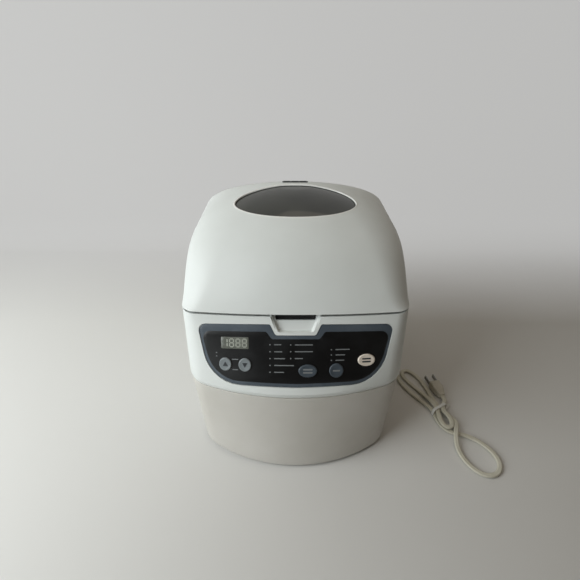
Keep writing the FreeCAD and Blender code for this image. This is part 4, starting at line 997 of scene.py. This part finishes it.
    def grip(self, margin: float) -> Walk:
        """Walk round the deep end of the pocket, under the lid's edge, a margin inside it."""
        half = self.pocket_top - self.grip_in - margin
        return self.cup_outline(half, half - self.grip_in, self.grip_over, margin - self.grip_height,
                                self.grip_corner)

    def pocket_floor(self, y: float) -> float:
        """Give the depth of the pocket's sloping floor at a distance up the slope from the seam."""
        return self.pocket_depth * (self.floor_share + self.floor_tilt * y / self.pocket_height)

    def on_display(self, points: Walk, x: float = 0.0) -> Walk:
        """Shift an outline to the display's middle, or to the right of it."""
        return moved(points, self.display_x + x, -self.display_down)

    def openings(self) -> list[Shape]:
        """Make the shapes that the upper housing is cut with.

        Returns:
            The panel's recess, then the cup's room with the keys' holes and the display's hole.
        """
        edge = self.outline(-self.panel_slack, -self.panel_slack)
        recess = self.slant.plate(edge, self.film_foot, self.recess_top)
        window = rounded_rectangle(self.display_half_x - self.display_ledge,
                                   self.display_half_y - self.display_ledge, MM)
        holes = [(self.pocket(self.pocket_wall), *self.pocket_hole)]
        holes += [(key.rim(margin=self.key_slack), *self.key_hole) for key in self.keys]
        holes += [(self.on_display(window), *self.display_hole)]
        return [recess, merge(self.slant.place(prism(*hole)) for hole in holes)]

    def cup(self) -> None:
        """Build the finger pocket's cup, with its lip rounded over, and a black pad in its deep end that paints
        the shade under the lid's edge.
        """
        board, depth = self.slant.board, self.pocket_depth
        walks = [walk_at(board, self.pocket(self.pocket_wall), -(self.pocket_wall + depth))]
        lip = ((self.pocket_wall, 0.0), (1.4 * MM, 0.25 * MM), (0.7 * MM, 0.1 * MM), (0.2 * MM, -0.5 * MM),
               (0.0, -1.4 * MM))
        walks += [self.slant.raise_walk(self.pocket(margin), out) for margin, out in lip]
        for margin, rise in ((0.0, 1.5 * MM), (-1.0 * MM, 0.0)):
            flat = self.pocket(margin)
            walks.append([board @ Vector((p.x, p.y, rise - self.pocket_floor(p.y))) for p in flat])
        bm = loft(walks)
        trim(bm, self.slant.casing.rim_z)
        bm = carve(bm, self.slant.place(prism(self.grip(0.0), -depth, 2 * MM)))
        # A black pad in the deep end: painted shade where the lid's edge shades the pocket.
        pad = self.slant.place(prism(self.grip(self.shade_pad_gap), -depth - 0.5 * MM, -depth + 2.5 * MM))
        trim(pad, self.slant.casing.rim_z)
        finish_piece("pocket_painted_shade_pad", pad, BLACK_RUBBER_AND_SHADE, "base")
        finish_piece("pocket_cup_moulding", bm, WHITE_ABS, "base", ["pocket_cup"])

    def film(self) -> None:
        """Build the slate border and the black face."""
        border = self.slant.plate(self.outline(), self.film_foot, -self.panel_sink, 0.2 * MM)
        finish_piece("panel_border_film", border, SLATE_FILM, "base", ["panel_border"])
        face = self.slant.plate(self.outline(*self.face_margins), self.film_foot, self.face, 0.05 * MM)
        finish_piece("panel_face_film", face, BLACK_FILM, "base", ["panel_face"])

    def display(self) -> None:
        """Build the display's lens and its segments."""
        lens = self.on_display(rounded_rectangle(self.display_half_x, self.display_half_y, 1.2 * MM))
        plate = self.slant.plate(lens, self.film_foot, self.face + 0.1 * MM, 0.05 * MM)
        finish_piece("display_lens", plate, LCD_FACE, "base", ["display_window"])
        bars = []
        for place, digit in enumerate(self.digits):
            shift = (place - (len(self.digits) - 1) / 2) * self.digit_step
            bars += [self.slant.plate(self.on_display(bar, shift), self.face, self.face + 0.14 * MM)
                     for bar in self.segments(digit)]
        finish_piece("display_segments", merge(bars), LCD_SEGMENT, "base")

    def segments(self, digit: str) -> list[Walk]:
        """Give the lit bars of one seven-segment digit.

        Args:
            digit: 1 or 8.

        Returns:
            Each bar's outline, with the digit centred on the origin.
        """
        wide, tall, thick = 2.2 * MM, 4.4 * MM, 0.65 * MM
        level = rounded_rectangle(wide - 0.5 * MM, thick, 0.3 * MM, 2)
        upright = rounded_rectangle(thick, tall / 2 - 0.4 * MM, 0.3 * MM, 2)
        whole = digit == "8"
        bars = [moved(level, 0, y) for y in (tall, 0, -tall)] if whole else []
        for side in (-wide, wide) if whole else (wide,):
            bars += [moved(upright, side, way * tall / 2) for way in (-1, 1)]
        return bars

    def marks(self) -> None:
        """Print plain dots and dashes beside the keys and as the programme lists."""
        prints = []
        for x, down, length in self.list_rows:
            prints.append(ellipse(0.75 * MM, 0.75 * MM, x * MM, -down * MM, 16))
            dash = rounded_rectangle(length / 2 * MM, 0.55 * MM, 0.5 * MM, 3)
            prints.append(moved(dash, (x + 4.5 + length / 2) * MM, -down * MM))
        for x, down, half in self.key_dashes:
            prints.append(moved(rounded_rectangle(half * MM, 0.5 * MM, 0.4 * MM, 3), x * MM, -down * MM))
        plates = [self.slant.plate(walk, self.face - 0.1 * MM, self.face + 0.05 * MM) for walk in prints]
        finish_piece("panel_marks", merge(plates), MARK_INK, "base")

    def button(self, key: Key) -> None:
        """Build one key with a rounded shoulder and a shallow dish.

        Args:
            key: which key.
        """
        walks = [walk_at(self.slant.board, key.rim(), -self.key_depth)]
        walks += [self.slant.raise_walk(key.rim(share), self.key_proud - drop * MM)
                  for share, drop in self.key_profile]
        finish_piece(key.node + "_cap", loft(walks), key.finish, key.body, [key.node], 60.0)
        self.sign(key)

    def sign(self, key: Key) -> None:
        """Print a key's sign in its dish.

        Args:
            key: which key.
        """
        way = -1.0 if key.sign is KeyShape.DOWN else 1.0
        half, row = 0.42 * key.half_x, 1.7 * MM
        foot = -0.75 * half * way
        arrow = [Vector((-half, foot)), Vector((half, foot)), Vector((0, half * way))]
        dash = rounded_rectangle(0.5 * key.half_x, 0.85 * MM, 0.4 * MM, 2)
        shapes = {KeyShape.UP: [arrow], KeyShape.DOWN: [arrow], KeyShape.ONE_DASH: [dash],
                  KeyShape.TWO_DASHES: [moved(dash, 0, row), moved(dash, 0, -row)]}[key.sign]
        low, high = self.key_proud - 0.7 * MM, self.key_proud - 0.22 * MM
        prints = [self.slant.plate(moved(shape, key.x, -key.down), low, high, step=2 * MM) for shape in shapes]
        finish_piece(key.node + "_sign", merge(prints), key.ink, key.body)

    def build(self) -> None:
        """Build every piece of the panel."""
        self.cup()
        self.film()
        self.display()
        self.marks()
        for key in self.keys:
            self.button(key)


@dataclass
class Lid:
    """The domed lid with its window, bead, seal and steam vent."""

    casing: Casing
    rise: float = 98.2 * MM
    lip_rise: float = 1.4 * MM
    crest_y: float = 30 * MM
    wall: float = 2.6 * MM
    # How the sides and the back draw in towards the crest: the power of the rise, and the root of what is left.
    side_curve: Pair = (4.8, 1.45)
    back_curve: Pair = (1.3, 1.4)
    # The corners and bows at the crest, as shares of its half width, and how soon they are reached.
    crest_corner: float = 0.51
    crest_back_corner: float = 0.25
    crest_bow: float = 1.15
    crest_back_bow: float = 3.0
    ease: float = 0.6
    back_ease: float = 1.5
    # The dome's rows up to its flat top, and the top's rings: share of its outline, and share of the rise.
    dome_rows: int = 26
    rows_kept: int = 24
    flat_share: float = 0.985
    top_rings: tuple[Pair, ...] = ((0.75, 0.9872), (0.45, 0.9888), (0.15, 0.9895))
    window_x: float = 72.7 * MM
    window_y: float = 32.7 * MM
    window_at: float = -9.2 * MM
    window_gap: float = 2 * MM
    window_steps: int = 96
    pane_sink: float = 1.9 * MM
    pane_thick: float = 1.3 * MM
    pane_shares: tuple[float, ...] = (1.0, 0.9, 0.8, 0.7, 0.6, 0.5, 0.4, 0.3, 0.2, 0.1, 0.03)
    # Sections in millimetres: growth of the window's outline, and height above the lid.
    bead: tuple[Pair, ...] = (
        (2.7, -3.2), (2.7, -0.2), (2.3, 0.15), (1.5, 0.3), (0.8, 0.2), (0.2, -0.3), (0.0, -1.0), (0.0, -3.2))
    # The seal's lip: a real seal, black all round, so that it also paints the shade inside the window's recess.
    seal: tuple[Pair, ...] = ((0.0, -2.1), (0.0, -1.5), (-0.7, -1.5), (-1.1, -1.75), (-1.1, -2.1))
    vent_at: float = 37 * MM
    vent_x: float = 16.6 * MM
    vent_y: float = 6 * MM
    vent_corner: float = 3 * MM
    # The vent's edge in millimetres: inset of its outline, and height above the lid.
    vent_edge: tuple[Pair, ...] = ((0.0, -3.4), (0.0, 0.0), (0.35, 0.5), (1.0, 0.7))
    slot_step: float = 10.4 * MM
    slot: Triple = (4.4 * MM, 4 * MM, 1.2 * MM)
    # The window and the vent are cut from these heights over the lid's foot, to this far past the crest.
    window_cut: float = 40 * MM
    vent_cut: float = 60 * MM
    cut_past: float = 20 * MM

    def __post_init__(self) -> None:
        """Set where the lid starts."""
        self.foot = self.casing.seam_z + self.lip_rise

    def plan(self, share: float, depth: float) -> Plan:
        """Give the lid's outline at a share of its rise.

        Args:
            share: 0 at the seam, 1 at the crest.
            depth: how far inside the lid's outside.

        Returns:
            The outline.
        """
        rim, seam = self.casing.seam_plan, self.casing.seam_plan.inset(depth)
        side, tail = ((1 - share ** power) ** (1 / root) for power, root in (self.side_curve, self.back_curve))
        width = seam.half * side
        run, rise = self.crest_y - seam.front, self.rise - depth
        arc = (run ** 2 + rise ** 2) / (2 * rise)
        nose = self.crest_y - math.sqrt(max(0.0, arc ** 2 - (arc - rise + share * rise) ** 2))
        soon, late = share ** self.ease, share ** self.back_ease
        corner = blend(seam.corner, self.crest_corner * width, soon)
        rear = blend(seam.back_corner, self.crest_back_corner * width, late)
        bow = blend(rim.bow / rim.half, self.crest_bow, soon)
        back_bow = blend(rim.back_bow / rim.half, self.crest_back_bow, soon)
        return Plan(width, nose, blend(self.crest_y, seam.back, tail), bow * width, corner,
                    back_bow * width, rear)

    def dome(self, bm: Shape, depth: float) -> Ring:
        """Add the dome's skin at a depth below its outside.

        Args:
            bm: the bmesh that gets it.
            depth: how far inside.

        Returns:
            Its ring at the seam.
        """
        rise, rings = self.rise - depth, []
        shares = [math.sin(QUARTER * i / self.dome_rows) for i in range(self.rows_kept)] + [self.flat_share]
        for share in shares:
            flat = self.plan(share, depth).points()
            rings.append(ring(bm, lift(flat, self.foot + share * rise)))
        middle = sum(flat, Vector((0, 0))) / len(flat)
        for shrink, share in self.top_rings:
            smaller = [middle + (p - middle) * shrink for p in flat]
            rings.append(ring(bm, lift(smaller, self.foot + share * rise)))
        bm.faces.new(rings[-1])
        bridge(bm, rings)
        return rings[0]

    def cutter(self, points: Walk, low: float) -> Shape:
        """Make the prism that cuts an outline out of the lid, from a height over its foot."""
        return prism(points, self.foot + low, self.foot + self.rise + self.cut_past)

    def shell(self) -> None:
        """Build the lid's shell with its window and vent cut out, and keep its outside to lay pieces on."""
        bm = bmesh.new()
        outer = self.dome(bm, 0.0)
        self.outside = BVHTree.FromBMesh(bm)
        inner = self.dome(bm, self.wall)
        bridge(bm, [outer, inner])
        tools = [self.cutter(self.window_walk(grow=self.window_gap), self.window_cut),
                 self.cutter(self.vent_walk(0.0), self.vent_cut)]
        finish_piece("lid_dome", carve(bm, merge(tools)), WHITE_ABS, "lid", ["lid_shell"])

    def on_dome(self, points: Walk, out: float) -> Walk:
        """Give an outline at a height above the lid's outside."""
        hits = [self.outside.ray_cast(Vector((p.x, p.y, 1.0)), DOWN)[0] for p in points]
        return [hit + UP * out for hit in hits]

    def window_walk(self, share: float = 1.0, grow: float = 0.0) -> Walk:
        """Walk round the window at a share of its size, or grown by a width."""
        half_x, half_y = self.window_x * share + grow, self.window_y * share + grow
        return ellipse(half_x, half_y, 0, self.window_at, self.window_steps)

    def vent_walk(self, inset: float) -> Walk:
        """Walk round the vent, an inset inside its edge."""
        sizes = (size - inset for size in (self.vent_x, self.vent_y, self.vent_corner))
        return moved(rounded_rectangle(*sizes), 0, self.vent_at)

    def window(self) -> None:
        """Build the sunk smoked glass, the white bead round it and the black lip of its seal, which also paints
        the shade inside the window's recess.
        """
        bm = loft((self.on_dome(self.window_walk(share), -self.pane_sink) for share in self.pane_shares), (-1,))
        bmesh.ops.recalc_face_normals(bm, faces=bm.faces)
        bmesh.ops.solidify(bm, geom=bm.faces[:], thickness=self.pane_thick)
        finish_piece("window_pane", bm, SMOKED, "lid", ["window_glass"])
        finish_piece("window_bead", self.band(self.bead), RIM_ABS, "lid", ["window_rim"])
        # Black seal lip: partly the real seal, partly painted shade in the window's recess.
        finish_piece("window_seal_lip_and_painted_shade", self.band(self.seal), BLACK_RUBBER_AND_SHADE, "lid")

    def band(self, section: Sequence[Pair]) -> Shape:
        """Make a closed ring that follows the window's edge with a section."""
        walks = [self.on_dome(self.window_walk(grow=grow * MM), out * MM) for grow, out in section]
        return loft(walks, closed=True)

    def vent(self) -> None:
        """Build the steam vent: a frame with three slots."""
        bm = loft([self.on_dome(self.vent_walk(inset * MM), out * MM) for inset, out in self.vent_edge])
        slot = rounded_rectangle(*self.slot)
        slots = [self.cutter(moved(slot, i * self.slot_step, self.vent_at), self.vent_cut) for i in (-1, 0, 1)]
        finish_piece("steam_vent_grille", carve(bm, merge(slots)), VENT_ABS, "lid",
                     ["steam_vent"])

    def build(self) -> None:
        """Build every piece of the lid."""
        self.shell()
        self.window()
        self.vent()


def curve(name: str, dimensions: str, kind: str,
          points: Sequence[Sequence[float]]) -> tuple[bpy.types.Object, bpy.types.Spline]:
    """Lay a curve of one spline through points.

    Args:
        name: the curve object's name.
        dimensions: 2D or 3D.
        kind: the spline's type.
        points: its points.

    Returns:
        The object and its spline.
    """
    data = bpy.data.curves.new(name, "CURVE")
    data.dimensions = dimensions
    spline = data.splines.new(kind)
    spline.points.add(len(points) - 1)
    for point, spot in zip(spline.points, points):
        point.co = (*spot, 1.0)
    return put(name, data), spline


def seat_at(spot: Vector, side: Vector, ahead: Vector) -> Matrix:
    """Give the place at a spot whose x runs to a side, whose y is up and whose z looks back."""
    return Matrix.Translation(spot) @ Matrix((side, UP, -ahead)).transposed().to_4x4()


@dataclass
class MainsLead:
    """The flat twin lead: its route on the table, the tied hank, the strain relief and the plug."""

    width: float = 6.2 * MM
    lobe: float = 1.8 * MM
    lobe_at: float = 1.3 * MM
    lobe_steps: int = 10
    # The share of a half turn that a core's outline runs to either side of its outermost point.
    lobe_wrap: float = 0.62
    # The same points as the CAD tube's, in millimetres.
    route: tuple[Triple, ...] = (
        (100, 179, 22), (100, 192, 22), (104, 207, 17.5), (112, 221, 10.5), (124, 231, 5), (139, 236, 2.8),
        (155, 234, 2.6), (168, 225, 2.6), (177, 211, 2.6), (181.5, 194, 2.6), (182.5, 175, 2.6),
        (181.5, 153, 2.6), (179.3, 130, 2.6), (176.4, 106, 2.6), (173.2, 82, 2.6), (170.2, 57, 2.6),
        (167.2, 33, 2.6), (164.8, 10, 2.6), (163.5, -10, 2.6), (165.5, -30, 2.6), (173.5, -48.5, 2.6),
        (192.5, -73.5, 2.6), (200, -86, 3.6), (201, -100, 2.8), (204, -113, 2.6), (212.5, -122.5, 2.6),
        (225, -125.5, 2.6), (238, -130.5, 2.6), (249.5, -140, 2.6), (258, -152.5, 2.6), (260.5, -166.5, 2.6),
        (255.5, -178.5, 2.6), (245, -185, 2.6), (233, -184, 2.6), (223, -175.5, 2.6), (216.5, -163, 2.6),
        (213.5, -148.5, 3.4), (215, -134.5, 7.4), (220, -122, 8.6), (225.5, -109, 6.4), (220.5, -96, 3.8),
        (211.5, -84.5, 3.6), (207, -69, 2.8), (204.5, -54, 2.6), (202, -39, 2.6), (198, -25, 2.6),
        (191, -12.5, 2.6), (181.5, -5.5, 2.6), (173, -10, 2.6), (173.5, -21.5, 2.6), (180.5, -34, 2.6),
        (189, -47, 2.6), (196.5, -60.5, 4.4), (202, -74, 8.2), (204.5, -87.5, 9.6), (203.5, -99, 8.8),
        (203.5, -109.5, 8.4), (206.5, -118, 8.4), (215, -118.5, 8.4), (218.3, -110, 8.6), (216.5, -100, 9.4),
        (211.5, -91, 9.8), (214.8, -82, 9.6), (219.5, -75, 8.2), (221.7, -69, 7), (220.5, -63, 7),
    )
    length: float = 0.97
    # The relief's collar and tip in millimetres: radius, and distance to the back.
    collar: tuple[Pair, ...] = (
        (6.0, 148.2), (6.0, 154.4), (8.8, 154.6), (9.0, 155.2), (9.0, 156.4), (8.7, 157.0), (6.0, 157.2))
    tip: tuple[Pair, ...] = ((4.0, 178.4), (3.6, 178.9))
    # Its ribs in millimetres: start and pitch, the first's radius and what each loses, depth of the grooves.
    ribs: int = 6
    rib_start: float = 158.5
    rib_pitch: float = 3.3
    rib_radius: float = 5.9
    rib_taper: float = 0.3
    groove: float = 0.8
    plug_length: float = 26 * MM
    plug_half: float = 8 * MM
    plug_thick: float = 6.5 * MM
    plug_corner: float = 2.6 * MM
    # The plug's sections: millimetres from the lead's end, share of its width and of its thickness.
    stations: tuple[Triple, ...] = (
        (0, 0.42, 0.55), (0.6, 0.5, 0.62), (4, 0.62, 0.7), (8, 0.8, 0.82), (12, 0.95, 0.95), (14, 1, 1),
        (15, 0.93, 0.97), (16.5, 0.93, 0.97), (17.5, 1, 1), (18.5, 0.93, 0.97), (20, 0.93, 0.97), (21, 1, 1),
        (24.5, 1, 1), (25.6, 0.96, 0.95), (26, 0.9, 0.88))
    blade_half: Triple = (3.15 * MM, 7.6 * MM, 1.2 * MM)
    blade_thick: float = 1.5 * MM
    blade_out: float = 7.4 * MM
    blade_apart: float = 12.7 * MM
    blade_hole: Pair = (1.6 * MM, 11.5 * MM)
    tie_spot: Triple = (207.9 * MM, -86.9 * MM, 6.6 * MM)
    tie_along: Triple = (0.5, -0.866, 0)
    tie_half: Triple = (12.4 * MM, 5.9 * MM, 4.5 * MM)
    # The tie's section in millimetres: growth, and distance along the hank.
    tie_section: tuple[Pair, ...] = ((0.0, -1.6), (0.5, -1.9), (0.55, 0.0), (0.5, 1.9), (0.0, 1.6))
    # Its tails: their turn, and their length in millimetres; half their width, corner and half thickness.
    tie_tails: tuple[Pair, ...] = ((0.5, 13), (-0.3, 9))
    tail_half: Triple = (1.7 * MM, 0.8 * MM, 0.35 * MM)

    def section(self) -> list[Triple]:
        """Draw the flat twin section: two round cores side by side.

        Returns:
            The outline's points.
        """
        walk = []
        wrap = math.pi * self.lobe_wrap
        for side, start in ((1, -wrap), (-1, math.pi - wrap)):
            for i in range(self.lobe_steps + 1):
                turn = start + 2 * wrap * i / self.lobe_steps
                walk.append((side * self.lobe_at + self.lobe * math.cos(turn), self.lobe * math.sin(turn), 0.0))
        return walk

    def flex(self, riders: Sequence[bpy.types.Object]) -> None:
        """Build the lead as a mesh tube along its spline.

        Args:
            riders: not used.
        """
        line, spline = curve("lead_line", "3D", "NURBS", [[c * MM for c in spot] for spot in self.route])
        line.data.twist_mode = "Z_UP"
        line.data.resolution_u = 8
        spline.order_u = 3
        spline.use_endpoint_u = True
        wire = evaluated(line)
        section, outline = curve("lead_section", "2D", "POLY", self.section())
        outline.use_cyclic_u = True
        line.data.bevel_mode = "OBJECT"
        line.data.bevel_object = section
        line.data.use_fill_caps = True
        tube = evaluated(line)
        bm = bmesh.new()
        bm.from_mesh(tube)
        for helper in (line, section):
            bpy.data.curves.remove(helper.data)
        for mesh in (wire, tube):
            bpy.data.meshes.remove(mesh)
        flex = finish_piece("flat_twin_lead", bm, CORD_PVC, "base",
                            ["cord_lead", "cord_hank"], 60.0)

    def relief(self) -> bpy.types.Object:
        """Build the ribbed strain relief.

        Returns:
            The new piece.
        """
        profile = list(self.collar)
        for rib in range(self.ribs):
            start, radius = self.rib_start + rib * self.rib_pitch, self.rib_radius - rib * self.rib_taper
            neck = radius - self.groove
            profile += [(radius, start), (radius, start + 1.6), (neck, start + 1.9), (neck, start + 3.0)]
        bm = loft([Vector((EXIT_X + p.x, y * MM, EXIT_Z + p.y)) for p in ellipse(r * MM, r * MM, steps=32)]
                  for r, y in profile + list(self.tip))
        return finish_piece("strain_relief_boot", bm, CORD_PVC, "base", ["strain_relief"])

    def plug(self) -> list[bpy.types.Object]:
        """Build the flat plug with its grip ribs and two blades.

        Returns:
            The body and the blades.
        """
        end, before = (Vector(p) * MM for p in (self.route[-1], self.route[-2]))
        ahead = (end - before).normalized()
        seat = seat_at(end, ahead.cross(UP).normalized(), ahead) @ Matrix.Rotation(math.pi, 4, "X")
        walks = []
        for along, wide, thick in self.stations:
            flat = rounded_rectangle(self.plug_half * wide, self.plug_thick * thick, self.plug_corner * thick)
            walks.append(walk_at(seat, flat, along * MM))
        body = finish_piece("flat_plug", loft(walks), PLUG_PVC, "base", ["plug_body"])
        blades = []
        radius, hole_at = self.blade_hole
        upright = Matrix.Rotation(QUARTER, 4, "Z") @ Matrix.Rotation(QUARTER, 4, "X")
        for hand in (-1, 1):
            outline = moved(rounded_rectangle(*self.blade_half), 0, self.blade_out)
            blade = prism(outline, -self.blade_thick / 2, self.blade_thick / 2)
            blade = carve(blade, prism(ellipse(radius, radius, 0, hole_at, 20), -2 * MM, 2 * MM))
            place = Matrix.Translation((hand * self.blade_apart / 2, 0, self.plug_length)) @ upright
            blades.append(put_at(seat @ place, blade))
        pair = finish_piece("plug_blade_pair", merge(blades), NICKEL, "base", ["plug_blades"])
        return [body, pair]

    def tie(self) -> bpy.types.Object:
        """Build the twist tie round the hank, with its two tails.

        Returns:
            The new piece.
        """
        along = Vector(self.tie_along)
        seat = seat_at(Vector(self.tie_spot), along.cross(UP), along)
        half_x, half_y, corner = self.tie_half
        tail_y, tail_corner, thick = self.tail_half
        walks = []
        for grow, shift in self.tie_section:
            flat = rounded_rectangle(half_x + grow * MM, half_y + grow * MM, corner)
            walks.append(walk_at(seat, flat, shift * MM))
        parts = [loft(walks, closed=True)]
        for turn, length in self.tie_tails:
            half = length / 2 * MM
            tail = prism(rounded_rectangle(half, tail_y, tail_corner), -thick, thick)
            place = Matrix.Translation((-12 * MM - half, -5.2 * MM + abs(turn) * MM, turn * 5 * MM))
            swing = Matrix.Rotation(QUARTER, 4, "X") @ Matrix.Rotation(turn, 4, "Z")
            parts.append(put_at(seat @ place @ swing, tail))
        return finish_piece("twist_tie", merge(parts), TIE_PLASTIC, "base", ["cord_tie"])

    def build(self) -> None:
        """Build the lead and what is on it."""
        self.flex(self.plug() + [self.tie(), self.relief()])


class Works:
    """The CAD solids that stay in view, each dressed in its slot's finish."""

    def dress(self) -> None:
        """Give every CAD node its finish, shown or not."""
        slots = {part["node"]: part["material_slot"] for part in frame["record"]["subparts"]}
        for name, node in frame["nodes"].items():
            node.data.materials.clear()
            node.data.materials.append(SLOT_FINISH[slots[name]].material())
        log.info("dressed %d CAD nodes", len(frame["nodes"]))


@dataclass(frozen=True)
class Lamp:
    """A soft square lamp: its light, its watts, its side, where it hangs and the point that it faces."""

    name: str
    colour: str
    power: float
    size: float
    spot: Triple
    aim: Triple

    def hang(self) -> None:
        """Put the lamp into the scene."""
        data = bpy.data.lights.new(self.name, "AREA")
        data.color = linear(self.colour)[:3]
        data.energy = self.power
        data.size = self.size
        made = put(self.name, data)
        made.location = self.spot
        made.rotation_euler = (Vector(self.aim) - Vector(self.spot)).to_track_quat("-Z", "Y").to_euler()


@dataclass
class Studio:
    """The pale sweep, the soft light and the camera."""

    focal_px: float = 383.6
    frame_px: float = 580.0
    sensor_mm: float = 36.0
    pitch_deg: float = 33.5
    yaw_deg: float = 0.12
    eye: Triple = (-0.0056, -0.4531, 0.4544)
    floor_y: float = -2.0
    wall_y: float = 0.47
    wall_top: float = 2.2
    sweep: float = 0.07
    sweep_steps: int = 16
    half_width: float = 3.0
    # The sweep is lit paper up to here, and from here to the wall more and more an even pale grey.
    fade_y: float = 0.12
    fade_share: float = 0.85
    paper_colour: str = "#d9d8d5"
    wall_colour: str = "#c4c4c3"
    room_colour: str = "#ddcebb"
    room_level: float = 0.09
    lamps: tuple[Lamp, ...] = (
        Lamp("window_light", "#f9feff", 10.3, 0.85, (-0.82, -0.42, 0.6), (-0.2, 0.35, 0.0)),
        Lamp("ceiling_light", "#fff0dc", 2.1, 1.2, (0.2, -0.1, 1.4), (0.1, 0.0, 0.0)),
    )

    def camera(self) -> None:
        """Place the camera at the photograph's angle."""
        data = bpy.data.cameras.new("camera")
        data.sensor_width = self.sensor_mm
        data.lens = self.focal_px / self.frame_px * data.sensor_width
        data.clip_start, data.clip_end = 0.01, 20
        made = put("camera", data)
        made.location = self.eye
        made.rotation_euler = (math.radians(90 - self.pitch_deg), 0, math.radians(self.yaw_deg))
        bpy.context.scene.camera = made

    def backdrop(self) -> None:
        """Lay a plain pale floor that sweeps up into a wall behind the machine."""
        curl = fillet(self.sweep, self.sweep, self.sweep_steps)
        profile = [(self.floor_y, 0.0)] + [(self.wall_y - inset, rise) for inset, rise in curl]
        profile.append((self.wall_y, self.wall_top))
        bm = bmesh.new()
        rows = [ring(bm, [Vector((side * self.half_width, y, z)) for side in (-1, 1)]) for y, z in profile]
        for (a, b), (c, d) in zip(rows, rows[1:]):
            bm.faces.new((a, b, d, c))
        mesh = mesh_of("sweep", bm)
        mesh.shade_smooth()
        mesh.materials.append(self.paper())
        made = put("sweep", mesh)

    def paper(self) -> bpy.types.Material:
        """Make the sweep's paper: lit floor, an even pale grey where it is wall, and clear from its back.

        Returns:
            The material.
        """
        made = blank_material("sweep_paper")
        tree = made.node_tree
        paint = add(tree, "BsdfPrincipled", {"Base Color": linear(self.paper_colour), "Roughness": 0.6,
                                             "Specular IOR Level": 0.2})
        glow = add(tree, "Emission", {"Color": linear(self.wall_colour), "Strength": 1.0})
        nodes = Nodes(tree)
        place = add(tree, "SeparateXYZ", {"Vector": nodes.spot})
        rise = nodes.spread((place, "Y"), (self.fade_y, self.wall_y), (0.0, self.fade_share))
        path = add(tree, "LightPath")
        camera = (path, "Is Camera Ray")

        def combine(operation: str, first: Link, second: Link) -> Link:
            """Add a calculation with two values."""
            return add(tree, "Math", {0: first, 1: second}, operation=operation), "Value"

        mirrored = combine("MAXIMUM", (path, "Is Glossy Ray"), (path, "Is Transmission Ray"))
        share = combine("MULTIPLY", combine("MAXIMUM", camera, mirrored), rise)
        front = add(tree, "MixShader", {0: share, 1: (paint, "BSDF"), 2: (glow, "Emission")})
        behind = combine("MULTIPLY", camera, (add(tree, "NewGeometry"), "Backfacing"))
        clear = add(tree, "BsdfTransparent")
        sheet = add(tree, "MixShader", {0: behind, 1: (front, "Shader"), 2: (clear, "BSDF")})
        add(tree, "OutputMaterial", {"Surface": (sheet, "Shader")})
        return made

    def light(self) -> None:
        """Light the scene softly from the left and weakly from above, with a dim even room round it."""
        scene = bpy.context.scene
        scene.view_settings.view_transform = "Standard"
        world = bpy.data.worlds.new("studio")
        world.use_nodes = True
        sky = world.node_tree.nodes["Background"]
        sky.inputs["Color"].default_value = linear(self.room_colour)
        sky.inputs["Strength"].default_value = self.room_level
        scene.world = world
        for lamp in self.lamps:
            lamp.hang()

    def build(self) -> None:
        """Set up the camera, the sweep and the light."""
        self.camera()
        self.backdrop()
        self.light()


def main() -> None:
    """Build the scene piece by piece."""
    logging.basicConfig(level=logging.INFO, format="%(name)s %(message)s")
    Studio().build()
    Works().dress()
    MainsLead().build()
    casing = Casing()
    panel = ControlPanel(Slant(casing))
    casing.tub()
    casing.hood(panel.openings())
    panel.build()
    Lid(casing).build()


if __name__ == "__main__":
    main()
